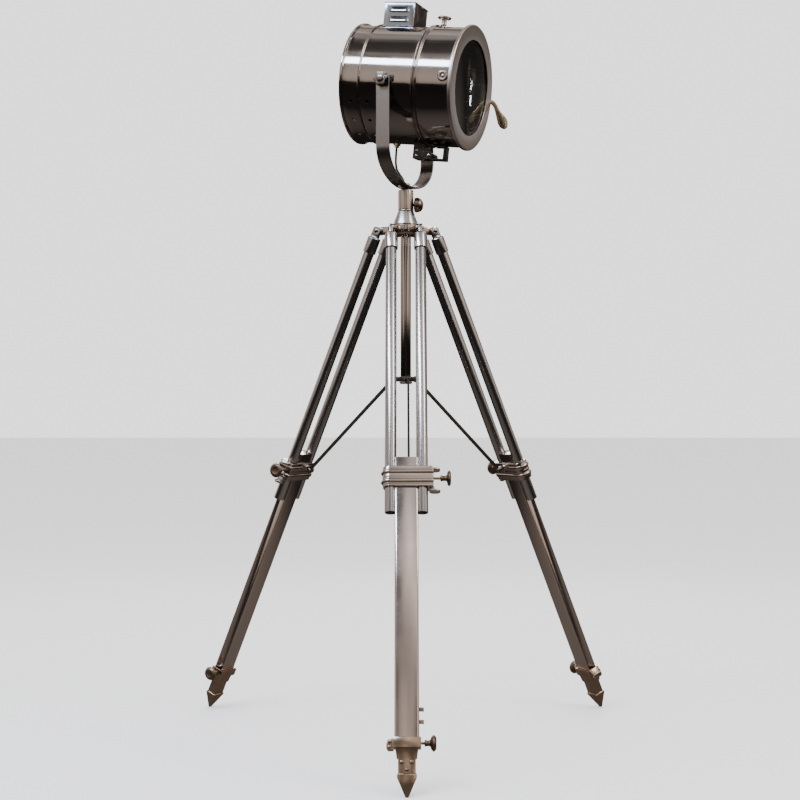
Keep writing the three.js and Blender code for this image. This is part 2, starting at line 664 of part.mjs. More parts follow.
function yoke() {
  const top = PIVOT_Z + YOKE_WIDTH / 2;
  const outer = YOKE_HALF + YOKE_STRAP / 2;
  const inner = YOKE_HALF - YOKE_STRAP / 2;
  const profile = [
    [outer, top], ...bowPoints(outer, YOKE_BASE, 20), [-outer, top],
    [-inner, top], ...bowPoints(inner, YOKE_BASE + YOKE_STRAP, 20).reverse(), [inner, top],
  ];
  const half = YOKE_WIDTH / 2;
  const strap = alongX(slab(profile.map(([y, z]) => [-z, y]), -half, half));
  const armReach = outer + OVERLAP;
  const sideView = [
    alongY(rod(half, -armReach, armReach, 16)).translate(0, 0, PIVOT_Z),
    box(-half, half, -armReach, armReach, YOKE_BASE - OVERLAP, PIVOT_Z),
  ];
  const silhouette = carve({ join: sideView });
  const bore = alongY(rod(PIVOT_BOLT_RADIUS + GAP, -armReach, armReach));
  const spigotRadius = SOCKET_RADIUS - SOCKET_WALL - GAP;
  const spigotFoot = YOKE_BASE - SPIGOT_LENGTH;
  const spigot = turned(
    ringProfile(SPIGOT_BORE, spigotRadius, spigotFoot, YOKE_BASE + OVERLAP), 24);
  const wireHole = rod(WIRE_HOLE.radius, YOKE_BASE - 4, YOKE_BASE + YOKE_STRAP + 4, 8);
  return carve({
    join: [carve({ join: [strap], keep: [silhouette] }), spigot],
    cut: [bore.translate(0, 0, PIVOT_Z), wireHole.translate(WIRE_HOLE.x, 0, 0)],
  });
}

function cableEye() {
  const ring = new THREE.TorusGeometry(EYE_RING.radius, EYE_RING.wire, 5, 10);
  const foot = YOKE_BASE + YOKE_STRAP + GAP;
  const stand = EYE_RING.radius + EYE_RING.wire + 1;
  ring.rotateX(Math.PI / 2).translate(0, 0, foot + stand);
  const base = rod(2.2, foot, foot + 2.4, 8);
  return carve({ join: [ring, base] }).translate(EYE_RING.x, 0, 0);
}

// A six-lobed hand nut on its threaded shank, standing outward along z.
function tiltKnob() {
  const shape = new THREE.Shape();
  const lobes = 6;
  const points = 24;
  for (let i = 0; i < points; i += 1) {
    const angle = 2 * Math.PI * i / points;
    const radius = 15.2 + 1.3 * Math.cos(lobes * angle);
    const method = i === 0 ? 'moveTo' : 'lineTo';
    shape[method](radius * Math.cos(angle), radius * Math.sin(angle));
  }
  shape.closePath();
  const shankFoot = -(YOKE_STRAP + 8);
  return carve({
    join: [
      slab(shape, 2.5, 13.5),
      rod(8, 0, 3.5),
      rod(PIVOT_BOLT_RADIUS, shankFoot, 1),
      turned([[0, 12.5], [9, 12.5], [6, 15.5], [0, 16]], 12),
    ],
  });
}

// ---------------------------------------------------------------- head pieces
function bead(radius, centre) {
  const low = centre - BEAD_HALF;
  const high = centre + BEAD_HALF;
  return [
    [radius, low], [radius + BEAD_PROUD, centre - BEAD_HALF / 3],
    [radius + BEAD_PROUD, centre + BEAD_HALF / 3], [radius, high],
  ];
}

function barrel() {
  const inner = BARREL_RADIUS - SHEET;
  const front = SEAM_X - GAP;
  const flangeTop = BARREL_REAR + REAR_FLANGE_WIDTH;
  const flange = BARREL_RADIUS + REAR_FLANGE_PROUD;
  const wall = alongX(turned([
    [inner, BARREL_REAR], [flange - 2, BARREL_REAR], [flange, BARREL_REAR + 2],
    [flange, flangeTop - 2.5], [BARREL_RADIUS, flangeTop],
    ...bead(BARREL_RADIUS, REAR_BEAD_X),
    ...bead(BARREL_RADIUS, front - BEAD_HALF - 0.5),
    [BARREL_RADIUS, front], [inner, front], [inner, BARREL_REAR],
  ], BARREL_SIDES));
  const bossEnd = YOKE_HALF - YOKE_STRAP / 2 - GAP;
  const bossRoot = BARREL_RADIUS - 4;
  const bosses = [-1, 1].map((side) => {
    const boss = rod(TRUNNION_RADIUS, bossRoot, bossEnd, 14);
    const turnedBoss = side > 0 ? alongY(boss) : alongY(boss).rotateZ(Math.PI);
    return turnedBoss.translate(0, 0, -BARREL_RISE);
  });
  const bore = alongY(rod(PIVOT_BOLT_RADIUS + GAP, -bossEnd - OVERLAP, bossEnd + OVERLAP));
  const vents = [];
  VENT_X.forEach((x) => {
    VENT_ANGLES.forEach((degrees) => {
      [degrees, 180 - degrees].forEach((around) => {
        const hole = alongY(rod(VENT_RADIUS, BARREL_RADIUS - 8, BARREL_RADIUS + 8, 6));
        vents.push(hole.rotateX(THREE.MathUtils.degToRad(around)).translate(x, 0, 0));
      });
    });
  });
  const flue = box(CHIMNEY.x0 + FLUE.inset, CHIMNEY.x1 - FLUE.inset,
    -CHIMNEY.half + FLUE.inset, CHIMNEY.half - FLUE.inset,
    BARREL_RADIUS - FLUE.drop, BARREL_RADIUS + 10);
  const glandHole = rod(GLAND.neck, -BARREL_RADIUS - 5, -BARREL_RADIUS + 8, 8);
  return carve({
    join: [wall, ...bosses],
    cut: [bore.translate(0, 0, -BARREL_RISE), ...vents, flue, glandHole.translate(GLAND.x, 0, 0)],
  });
}

function rearCover() {
  const radius = BARREL_RADIUS - SHEET - GAP;
  const back = BARREL_REAR + 2;
  return alongX(turned([
    [0, back], [radius - 12, back], [radius - 7, back + 3], [radius, back + 3],
    [radius, back + 5], [radius - 8, back + 5], [radius - 13, back + 2], [0, back + 2],
  ], BARREL_SIDES));
}

function louvreHood(side) {
  const [x0, x1] = [CHIMNEY.x0, CHIMNEY.x1];
  const middle = (x0 + x1) / 2;
  const face = CHIMNEY.half;
  return LOUVRE.centres.map((height) => {
    const z = BARREL_RADIUS + height;
    const wedge = alongX(slab([
      [-(z + LOUVRE.slot), face - OVERLAP], [-z, face - OVERLAP], [-z, face + LOUVRE.hood],
      [-(z + 1.5), face + LOUVRE.hood],
    ], -LOUVRE.length / 2, LOUVRE.length / 2)).translate(middle, 0, 0);
    return side > 0 ? wedge : wedge.translate(-middle, 0, 0).rotateZ(Math.PI)
      .translate(middle, 0, 0);
  });
}

// The heat vent on top of the barrel: an open-bottomed box with louvred cheeks.
function chimney() {
  const { x0, x1, half, rise, wall } = CHIMNEY;
  const top = BARREL_RADIUS + rise;
  const outside = box(x0, x1, -half, half, BARREL_RADIUS - 25, top - wall);
  const lid = box(x0 - 1, x1 + 1, -half - 1, half + 1, top - wall, top);
  const inside = box(x0 + wall, x1 - wall, -half + wall, half - wall,
    BARREL_RADIUS - 26, top - wall);
  const middle = (x0 + x1) / 2;
  const slots = LOUVRE.centres.map((height) => {
    const z = BARREL_RADIUS + height;
    const reach = half + LOUVRE.hood - 1.5;
    const long = LOUVRE.length / 2 - 1.5;
    return box(middle - long, middle + long, -reach, reach, z - 1, z + LOUVRE.slot - 3);
  });
  const seat = alongX(rod(BARREL_RADIUS + GAP, x0 - 5, x1 + 5, BARREL_SIDES));
  return carve({
    join: [outside, lid, ...louvreHood(1), ...louvreHood(-1)],
    cut: [inside, seat, ...slots],
  });
}

function lampHolder() {
  const foot = BARREL_REAR + 4 + GAP;
  const mouth = foot + HOLDER_LENGTH;
  return alongX(turned([
    [0, foot], [HOLDER_RADIUS, foot], [HOLDER_RADIUS, foot + 24], [HOLDER_NECK, foot + 29],
    [HOLDER_NECK, mouth], [HOLDER_BORE, mouth], [HOLDER_BORE, foot + 7], [0, foot + 7],
  ], 14));
}

function bulb() {
  const foot = BARREL_REAR + 4 + GAP + 7 + GAP;
  const mouth = BARREL_REAR + 4 + GAP + HOLDER_LENGTH;
  const cap = HOLDER_BORE - GAP - 0.4;
  const centre = mouth + 52;
  const points = [[0, foot], [8, foot], [cap, foot + 5], [cap, mouth + 2]];
  const steps = 6;
  for (let i = 0; i <= steps; i += 1) {
    const angle = THREE.MathUtils.degToRad(-42 + 132 * i / steps);
    const radius = i === steps ? 0 : BULB_RADIUS * Math.cos(angle);
    points.push([radius, centre + BULB_RADIUS * Math.sin(angle)]);
  }
  return alongX(turned(points, 14));
}

function cableGland() {
  const top = -BARREL_RADIUS - GAP - 0.1;
  const foot = top - GLAND.length;
  const bore = CORD_RADIUS + GAP;
  return turned([
    [bore, foot], [GLAND.neck, foot], [GLAND.neck, top - GLAND.flange],
    [GLAND.radius, top - GLAND.flange], [GLAND.radius, top], [bore, top], [bore, foot],
  ], 12).translate(GLAND.x, 0, 0);
}

// Bracket under the barrel that carries the knuckle of the front housing.
function hingeBracket() {
  const { x0, x1, half, foot } = BRACKET;
  const ear = LEAF.half + 0.6;
  const radius = DOOR_HINGE.knuckle;
  const join = [box(x0, x1, -half, half, foot, -BARREL_RADIUS + 6)];
  [[ear, half], [-half, -ear]].forEach(([y0, y1]) => {
    join.push(box(x1 - OVERLAP, DOOR_HINGE.x, y0, y1,
      DOOR_HINGE.z - radius + 0.5, DOOR_HINGE.z + radius));
    join.push(alongY(rod(radius, y0, y1)).translate(DOOR_HINGE.x, 0, DOOR_HINGE.z));
  });
  const seat = alongX(rod(BARREL_RADIUS + GAP, x0 - 5, x1 + 5, BARREL_SIDES));
  const beadStart = SEAM_X - GAP - 2 * BEAD_HALF - 1;
  const beadSeat = alongX(rod(BARREL_RADIUS + BEAD_PROUD + GAP, beadStart, x1 + 5, BARREL_SIDES));
  const bore = alongY(rod(DOOR_HINGE.pin + GAP, -half - 1, half + 1, 8));
  return carve({ join, cut: [seat, beadSeat, bore.translate(DOOR_HINGE.x, 0, DOOR_HINGE.z)] });
}

// ---------------------------------------------------------------- front housing
function frontSleeve() {
  const inner = SLEEVE_RADIUS - SHEET;
  const rear = SEAM_X + GAP;
  const wall = alongX(turned([
    [inner, rear], [SLEEVE_RADIUS, rear],
    ...bead(SLEEVE_RADIUS, rear + BEAD_HALF + 0.5),
    [SLEEVE_RADIUS, SLEEVE_FRONT], [inner, SLEEVE_FRONT], [inner, rear],
  ], BARREL_SIDES));
  const start = SLEEVE_RADIUS - SHEET;
  const proud = SLEEVE_RADIUS + SIDE_BOSS.proud;
  const boss = alongY(turned(ringProfile(6, SIDE_BOSS.radius, start, proud), 16)).rotateZ(Math.PI);
  const screwBore = rod(SCREW_BORE, SLEEVE_RADIUS - 6, SLEEVE_RADIUS + 8, 12);
  const leverBore = alongY(rod(SCREW_BORE, SLEEVE_RADIUS - 6, SLEEVE_RADIUS + 8, 12));
  return carve({
    join: [wall, boss.translate(SIDE_BOSS.x, 0, 0)],
    cut: [screwBore.translate(TOP_SCREW_X, 0, 0), leverBore.translate(SIDE_BOSS.x, 0, 0)],
  });
}

function frontRim() {
  const back = RIM_FRONT - RIM_PLATE;
  const skirt = SLEEVE_RADIUS + GAP + 0.4;
  const skirtFoot = RIM_FRONT - RIM_SKIRT;
  return alongX(turned([
    [RIM_OPENING, back], [skirt, back], [skirt, skirtFoot], [RIM_RADIUS - 1.6, skirtFoot],
    [RIM_RADIUS, skirtFoot + 1.7], [RIM_RADIUS, RIM_FRONT - 1.5], [RIM_RADIUS - 1.5, RIM_FRONT],
    [RIM_OPENING, RIM_FRONT], [RIM_OPENING, back],
  ], BARREL_SIDES));
}

const lensFront = RIM_FRONT - RIM_PLATE - GAP;
const lensRadius = SLEEVE_RADIUS - SHEET - GAP - 0.4;

function lens() {
  return alongX(rod(lensRadius, lensFront - LENS_THICKNESS, lensFront, BARREL_SIDES));
}

function lensRetainer() {
  const front = lensFront - LENS_THICKNESS - GAP;
  const outer = lensRadius;
  const inner = outer - RETAINER_WIDTH;
  return alongX(turned(ringProfile(inner, outer, front - RETAINER_DEPTH, front), BARREL_SIDES));
}

// Leaf of the front hinge, bent from flat strip into an open loop under the sleeve.
function hingeLeaf() {
  const { half, thickness, x0, x1, foot } = LEAF;
  const top = -(SLEEVE_RADIUS + GAP + 0.1);
  const strip = [
    [x0, top], [x0, top - thickness], [x1 - thickness, top - thickness],
    [x1 - thickness, foot + thickness], [DOOR_HINGE.x, foot + thickness], [DOOR_HINGE.x, foot],
    [x1, foot], [x1, top],
  ];
  const loop = alongY(slab(strip.map(([x, z]) => [x, -z]).reverse(), -half, half));
  const knuckle = alongY(rod(DOOR_HINGE.knuckle, -half, half));
  const pinEnd = BRACKET.half;
  const pin = alongY(rod(DOOR_HINGE.pin, -pinEnd, pinEnd, 8));
  return carve({
    join: [
      loop,
      knuckle.translate(DOOR_HINGE.x, 0, DOOR_HINGE.z),
      pin.translate(DOOR_HINGE.x, 0, DOOR_HINGE.z),
    ],
  });
}

function topScrew() {
  return thumbScrew({ thread: 5, reach: 5, stem: 14, wheel: 16, wheelThickness: 6.5 });
}

// The catch lever: a hub on its stub axle, a bent arm and a round paddle, hub at the origin.
function latchLever() {
  const y0 = LEVER_GAP;
  const y1 = LEVER_GAP + LEVER.thickness;
  const [midX, midZ] = LEVER.mid;
  const [tipX, tipZ] = LEVER.tip;
  const stretch = (x, z, toX, toZ, width) => {
    const length = Math.hypot(toX - x, toZ - z);
    const bar = box(0, length, y0, y1, -width / 2, width / 2);
    return bar.rotateY(-Math.atan2(toZ - z, toX - x)).translate(x, 0, z);
  };
  return carve({
    join: [
      alongY(rod(LEVER.hub, y0, y1)),
      alongY(rod(3, -SHEET, y1, 8)),
      stretch(0, 0, midX, midZ, 9),
      alongY(rod(4.5, y0, y1, 8)).translate(midX, 0, midZ),
      stretch(midX, midZ, tipX, tipZ, 9),
      alongY(rod(LEVER.paddle, y0, y1)).translate(tipX, 0, tipZ),
    ],
  });
}

// ---------------------------------------------------------------- cord
// Points of the flex in the lamp's frame, from the gland down to the hole in the yoke.
function addCord(head) {
  head.updateWorldMatrix(true, false);
  const top = -BARREL_RADIUS - GAP - 0.1 - GLAND.length - GAP + BARREL_RISE;
  const exit = head.localToWorld(new THREE.Vector3(GLAND.x, 0, top));
  const down = new THREE.Vector3(0, 0, -1).transformDirection(head.matrixWorld);
  const turn = new THREE.Vector3(0, 0, 1);
  const end = new THREE.Vector3(WIRE_HOLE.x, 0, YOKE_BASE + YOKE_STRAP + GAP);
  end.applyAxisAngle(turn, HEAD_YAW);
  const sag = new THREE.Vector3(-9, 0, 0).applyAxisAngle(turn, HEAD_YAW);
  const points = [
    exit,
    exit.clone().addScaledVector(down, 12),
    exit.clone().lerp(end, 0.5).add(sag),
    end.clone().add(new THREE.Vector3(0, 0, 16)),
    end,
  ];
  const path = new THREE.CatmullRomCurve3(points);
  const section = new THREE.Shape();
  section.absarc(0, 0, CORD_RADIUS, 0, 2 * Math.PI, false);
  const options = {
    steps: CORD_STEPS, extrudePath: path, bevelEnabled: false, curveSegments: CORD_SIDES / 2,
  };
  part(lamp, 'head_flex', new THREE.ExtrudeGeometry(section, options), flex);
}

// ---------------------------------------------------------------- assembly
part(lamp, 'hub_spider', hubSpider(), nickel);
part(lamp, 'hub_cone', hubCone(), brushed);
part(lamp, 'stem_socket', stemSocket(), nickel);
part(lamp, 'centre_column', centreColumn(), nickel);
part(lamp, 'column_stop', columnStop(), nickel);
part(lamp, 'stem_lock_knob', stemLockKnob(), bronze).position.z = SOCKET_BASE + STEM_KNOB_HEIGHT;
part(lamp, 'brace_collar', braceCollar(), blackened).position.z = COLLAR_Z;
Object.entries(LEG_ANGLES).forEach(([name, degrees]) => addLeg(name, degrees));

const swivel = new THREE.Group();
swivel.name = 'swivel';
swivel.rotation.z = HEAD_YAW;
lamp.add(swivel);
part(swivel, 'yoke', yoke(), satin);
part(swivel, 'cable_eye', cableEye(), nickel);
const knobSeat = YOKE_HALF + YOKE_STRAP / 2 + GAP;
const nearKnob = part(swivel, 'tilt_knob_near', tiltKnob(), satin);
nearKnob.position.set(0, -knobSeat, PIVOT_Z);
nearKnob.rotation.x = Math.PI / 2;
const farKnob = part(swivel, 'tilt_knob_far', tiltKnob(), satin);
farKnob.position.set(0, knobSeat, PIVOT_Z);
farKnob.rotation.x = -Math.PI / 2;

const head = new THREE.Group();
head.name = 'head';
head.position.z = PIVOT_Z;
head.rotation.y = HEAD_TILT;
swivel.add(head);
const housing = new THREE.Group();
housing.name = 'housing';
housing.position.z = BARREL_RISE;
head.add(housing);
part(housing, 'barrel', barrel(), nickel);
part(housing, 'rear_cover', rearCover(), nickel);
part(housing, 'chimney', chimney(), nickel);
part(housing, 'lamp_holder', lampHolder(), ceramic);
part(housing, 'bulb', bulb(), glass);
part(housing, 'cable_gland', cableGland(), brass);
part(housing, 'hinge_bracket', hingeBracket(), blackened);

part(housing, 'front_sleeve', frontSleeve(), nickel);
part(housing, 'front_rim', frontRim(), satin);
part(housing, 'lens', lens(), glass);
part(housing, 'lens_retainer', lensRetainer(), blackened);
part(housing, 'hinge_leaf', hingeLeaf(), blackened);
part(housing, 'top_screw', topScrew(), bronze).position.set(TOP_SCREW_X, 0, SLEEVE_RADIUS);
part(housing, 'latch_lever', latchLever(), brass).position.set(SIDE_BOSS.x, SLEEVE_RADIUS, 0);
addCord(head);

// The origin is the middle of the lamp's own box, at floor level, without the flex.
const loose = lamp.getObjectByName('head_flex');
lamp.remove(loose);
lamp.updateWorldMatrix(true, true);
const bounds = new THREE.Box3().setFromObject(lamp, true);
lamp.add(loose);
const middle = bounds.getCenter(new THREE.Vector3());
lamp.position.set(-middle.x, -middle.y, -bounds.min.z);

export default lamp;
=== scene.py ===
import json
import math

import bmesh
import bpy
from mathutils import Matrix, Vector


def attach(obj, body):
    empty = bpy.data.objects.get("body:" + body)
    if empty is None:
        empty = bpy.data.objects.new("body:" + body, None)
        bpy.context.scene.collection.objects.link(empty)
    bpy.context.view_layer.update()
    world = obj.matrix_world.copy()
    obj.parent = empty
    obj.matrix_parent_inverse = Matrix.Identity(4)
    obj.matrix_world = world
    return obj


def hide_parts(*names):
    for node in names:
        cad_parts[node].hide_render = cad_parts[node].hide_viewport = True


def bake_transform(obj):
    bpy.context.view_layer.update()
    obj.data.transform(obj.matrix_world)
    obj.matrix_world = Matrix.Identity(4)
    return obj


bl_info = {
    "name": "Tripod floor lamp",
    "version": (1, 0, 0),
    "blender": (4, 5, 0),
    "location": "3D View > Sidebar > Lamp",
    "description": "Builds a spotlight floor lamp on a folding tripod",
    "category": "Add Mesh",
}

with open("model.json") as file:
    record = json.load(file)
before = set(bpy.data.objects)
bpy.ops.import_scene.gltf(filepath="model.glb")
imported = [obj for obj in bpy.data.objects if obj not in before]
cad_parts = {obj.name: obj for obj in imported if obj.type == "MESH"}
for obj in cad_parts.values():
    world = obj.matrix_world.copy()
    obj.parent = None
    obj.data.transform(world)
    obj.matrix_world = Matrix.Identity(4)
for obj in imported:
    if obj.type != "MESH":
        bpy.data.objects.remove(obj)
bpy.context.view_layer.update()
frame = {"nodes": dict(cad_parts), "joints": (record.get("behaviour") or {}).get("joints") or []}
JOINTS = {joint["name"]: joint for joint in frame["joints"]}
LEGS = ("front", "right", "left")
MM = 0.001


# ------------------------------------------------------------------ places
def local_frame(origin, x_axis, z_axis):
    """The matrix from a piece's own millimetres to the lamp's metres."""
    x = Vector(x_axis).normalized()
    z = Vector(z_axis).normalized()
    y = z.cross(x)
    matrix = Matrix((x, y, z)).transposed().to_4x4()
    matrix.translation = Vector(origin)
    return matrix @ Matrix.Scale(MM, 4)


BARREL_RISE = 13
PIVOT = Vector(JOINTS["head_tilt"]["pos_m"])
HEAD_Y = -Vector(JOINTS["head_tilt"]["axis"])
HEAD_Z = Vector(JOINTS["top_screw_turn"]["axis"])
HEAD_X = HEAD_Y.cross(HEAD_Z)
AXIS = Vector(JOINTS["head_yaw"]["pos_m"])
UP = Vector((0, 0, 1))
LAMP = local_frame((AXIS.x, AXIS.y, 0), (1, 0, 0), UP)
HEAD = local_frame(PIVOT + HEAD_Z * BARREL_RISE * MM, HEAD_X, HEAD_Z)
YOKE = local_frame(PIVOT, HEAD_Y.cross(UP), UP)
LEG = {
    name: local_frame(
        JOINTS[f"{name}_fold"]["pos_m"],
        JOINTS[f"{name}_fold"]["axis"],
        JOINTS[f"{name}_leg_slide"]["axis"],
    )
    for name in LEGS
}


def millimetres(metres):
    return metres / MM


# ------------------------------------------------------------------ settings
class LampSizes(bpy.types.PropertyGroup):
    """Sizes of the fine detail, in the lamp's own pieces."""

    edge: bpy.props.FloatProperty(
        name="Edge rounding", description="Width of the rounding on sheet and bar edges",
        default=0.0006, min=0.0001, max=0.002, unit="LENGTH")
    round_steps: bpy.props.IntProperty(
        name="Round steps", description="Sides of a turned piece",
        default=56, min=16, max=256)
    drum_steps: bpy.props.IntProperty(
        name="Drum steps", description="Sides of the barrel and the front sleeve",
        default=192, min=48, max=512)
    tube_radius: bpy.props.FloatProperty(
        name="Leg tube radius", description="Outside radius of a leg tube",
        default=0.012, min=0.005, max=0.03, unit="LENGTH")
    wheel_radius: bpy.props.FloatProperty(
        name="Thumb wheel radius", description="Outside radius of a clamp screw's wheel",
        default=0.0165, min=0.005, max=0.03, unit="LENGTH")
    screw_radius: bpy.props.FloatProperty(
        name="Screw head radius", description="Radius of the foot plate's screw heads",
        default=0.0044, min=0.001, max=0.01, unit="LENGTH")
    rivet_radius: bpy.props.FloatProperty(
        name="Rivet radius", description="Radius of the brace and lug rivets",
        default=0.0042, min=0.001, max=0.01, unit="LENGTH")
    vent_radius: bpy.props.FloatProperty(
        name="Vent radius", description="Radius of the barrel's cooling holes",
        default=0.004, min=0.001, max=0.01, unit="LENGTH")
    flex_diameter: bpy.props.FloatProperty(
        name="Flex diameter", description="Diameter of the flex between head and yoke",
        default=0.005, min=0.002, max=0.012, unit="LENGTH")


def colour_property(label, words, value):
    return bpy.props.FloatVectorProperty(
        name=label, description=words, default=value, min=0, max=1, size=3, subtype="COLOR")


class LampColours(bpy.types.PropertyGroup):
    """Base colours of the lamp's finishes."""

    nickel: colour_property("Nickel", "Polished plate of the head", (0.43, 0.39, 0.365))
    steel: colour_property("Steel", "Brushed tubes and cone", (0.52, 0.515, 0.52))
    bar: colour_property("Bar", "Plated sliding bars", (0.66, 0.59, 0.555))
    clamp: colour_property("Clamp", "Plated clamps", (0.52, 0.46, 0.41))
    satin: colour_property("Satin", "Yoke strap", (0.30, 0.27, 0.25))
    rim: colour_property("Rim", "Front rim of the head", (0.66, 0.60, 0.57))
    bronze: colour_property("Bronze", "Antique feet and thumb screws", (0.42, 0.32, 0.24))
    worn: colour_property("Worn bronze", "Bronze where it is rubbed", (0.70, 0.57, 0.46))
    black: colour_property("Black", "Blackened brackets and braces", (0.055, 0.048, 0.044))
    brass: colour_property("Brass", "Lever and gland", (0.66, 0.56, 0.38))
    floor: colour_property("Floor", "Studio floor", (0.92, 0.92, 0.92))


def sizes():
    return bpy.context.scene.lamp_sizes


def colours():
    return bpy.context.scene.lamp_colours


# ------------------------------------------------------------------ node helpers
TURNING_RADIUS = 1             # of the circle that a profile is swept round


def link(tree, source, target):
    tree.links.new(source, target)


def feed(tree, node, inputs):
    """Links or sets a node's inputs, each by its name or its place in the list."""
    for key, value in inputs.items():
        if isinstance(value, bpy.types.NodeSocket):
            link(tree, value, node.inputs[key])
        else:
            node.inputs[key].default_value = value
    return node


def add_node(tree, kind, inputs=None, **settings):
    node = tree.nodes.new(kind)
    for key, value in settings.items():
        setattr(node, key, value)
    return feed(tree, node, inputs or {})


def socket_kind(value):
    """The kind of socket that holds a whole number, a number, a vector or a colour."""
    if isinstance(value, tuple):
        return "NodeSocketVector" if len(value) == 3 else "NodeSocketColor"
    return "NodeSocketInt" if isinstance(value, int) else "NodeSocketFloat"


def add_sockets(tree, way, values):
    for label, value in values.items():
        socket = tree.interface.new_socket(label, in_out=way, socket_type=socket_kind(value))
        socket.default_value = value


def geometry_tree(name, inputs):
    """A new geometry tree with a Geometry input, the named inputs and a Material input."""
    tree = bpy.data.node_groups.new(name, "GeometryNodeTree")
    tree.interface.new_socket("Geometry", in_out="INPUT", socket_type="NodeSocketGeometry")
    add_sockets(tree, "INPUT", inputs)
    tree.interface.new_socket("Material", in_out="INPUT", socket_type="NodeSocketMaterial")
    tree.interface.new_socket("Geometry", in_out="OUTPUT", socket_type="NodeSocketGeometry")
    return tree, add_node(tree, "NodeGroupInput"), add_node(tree, "NodeGroupOutput")


def close_tree(tree, start, end, geometry):
    """Ends a geometry tree in Realize Instances and Set Material."""
    real = add_node(tree, "GeometryNodeRealizeInstances", {"Geometry": geometry})
    paint = add_node(tree, "GeometryNodeSetMaterial", {
        "Geometry": real.outputs["Geometry"], "Material": start.outputs["Material"]})
    feed(tree, end, {"Geometry": paint.outputs["Geometry"]})
    return tree


def math_node(tree, operation, *values):
    node = add_node(tree, "ShaderNodeMath", dict(enumerate(values)), operation=operation)
    return node.outputs[0]


def grown(mesh, tree, values, material):
    """The plain mesh that a geometry tree makes of a mesh."""
    host = bpy.data.objects.new("host", mesh)
    bpy.context.scene.collection.objects.link(host)
    modifier = host.modifiers.new("tree", "NODES")
    modifier.node_group = tree
    keys = {item.name: item.identifier for item in tree.interface.items_tree
            if item.in_out == "INPUT"}
    for label, value in values.items():
        modifier[keys[label]] = value
    modifier[keys["Material"]] = material
    graph = bpy.context.evaluated_depsgraph_get()
    result = bpy.data.meshes.new_from_object(host.evaluated_get(graph), depsgraph=graph)
    host.modifiers.clear()
    bpy.data.objects.remove(host)
    bpy.data.meshes.remove(mesh)
    return result


def turned_tree():
    """A profile of radius and height turned once round the z axis."""
    tree, start, end = geometry_tree("Turned piece", {"Sides": 48})
    profile = add_node(tree, "GeometryNodeMeshToCurve", {"Mesh": start.outputs["Geometry"]})
    circle = add_node(tree, "GeometryNodeCurvePrimitiveCircle", {
        "Radius": TURNING_RADIUS, "Resolution": start.outputs["Sides"]})
    upright = add_node(tree, "GeometryNodeSetCurveNormal", {"Curve": circle.outputs["Curve"]},
                       mode="Z_UP")
    sweep = add_node(tree, "GeometryNodeCurveToMesh", {
        "Curve": upright.outputs["Curve"], "Profile Curve": profile.outputs["Curve"]})
    merge = add_node(tree, "GeometryNodeMergeByDistance", {
        "Geometry": sweep.outputs["Mesh"], "Distance": 0.0005})
    return close_tree(tree, start, end, merge.outputs["Geometry"])


def facing_rotation(tree, attribute):
    """The rotation that turns z towards a direction stored on each point."""
    stored = add_node(tree, "GeometryNodeInputNamedAttribute", {"Name": attribute},
                      data_type="FLOAT_VECTOR")
    align = add_node(tree, "FunctionNodeAlignRotationToVector",
                     {"Vector": stored.outputs["Attribute"]}, axis="Z")
    return align.outputs["Rotation"]


def heads_tree():
    """A round head on every point, facing the way the point's facing attribute says."""
    tree, start, end = geometry_tree("Screw heads", {
        "Radius": 4.4, "Height": 2.2, "Slot": 1.1, "Seed": 3})
    radius, height, width = (start.outputs[key] for key in ("Radius", "Height", "Slot"))
    sphere = add_node(tree, "GeometryNodeMeshUVSphere", {
        "Segments": 20, "Rings": 10, "Radius": 1})
    size = add_node(tree, "ShaderNodeCombineXYZ", {0: radius, 1: radius, 2: height})
    dome = add_node(tree, "GeometryNodeTransform", {
        "Geometry": sphere.outputs["Mesh"], "Scale": size.outputs[0]})
    blade_size = add_node(tree, "ShaderNodeCombineXYZ", {
        0: math_node(tree, "MULTIPLY", radius, 3), 1: width,
        2: math_node(tree, "MULTIPLY", width, 1.6)})
    blade = add_node(tree, "GeometryNodeMeshCube", {"Size": blade_size.outputs[0]})
    lift = add_node(tree, "ShaderNodeCombineXYZ", {2: height})
    raised = add_node(tree, "GeometryNodeTransform", {
        "Geometry": blade.outputs["Mesh"], "Translation": lift.outputs[0]})
    slot = add_node(tree, "GeometryNodeMeshBoolean", {
        "Mesh 1": dome.outputs["Geometry"], "Mesh 2": raised.outputs["Geometry"]},
        operation="DIFFERENCE", solver="EXACT")
    wide = add_node(tree, "FunctionNodeCompare", {"A": width, "B": 0.01},
                    data_type="FLOAT", operation="GREATER_THAN")
    slotted = add_node(tree, "GeometryNodeSwitch", {
        "Switch": wide.outputs["Result"], "False": dome.outputs["Geometry"],
        "True": slot.outputs["Mesh"]}, input_type="GEOMETRY")
    spin = add_node(tree, "FunctionNodeRandomValue", {
        2: 0, 3: math.pi, "Seed": start.outputs["Seed"]}, data_type="FLOAT")
    about = add_node(tree, "FunctionNodeAxisAngleToRotation", {
        "Axis": (0, 0, 1), "Angle": spin.outputs[1]})
    turn = add_node(tree, "FunctionNodeRotateRotation", {
        "Rotation": facing_rotation(tree, "facing"), "Rotate By": about.outputs["Rotation"]},
        rotation_space="LOCAL")
    points = add_node(tree, "GeometryNodeMeshToPoints", {"Mesh": start.outputs["Geometry"]})
    place = add_node(tree, "GeometryNodeInstanceOnPoints", {
        "Points": points.outputs["Points"], "Instance": slotted.outputs["Output"],
        "Rotation": turn.outputs["Rotation"]})
    return close_tree(tree, start, end, place.outputs["Instances"])


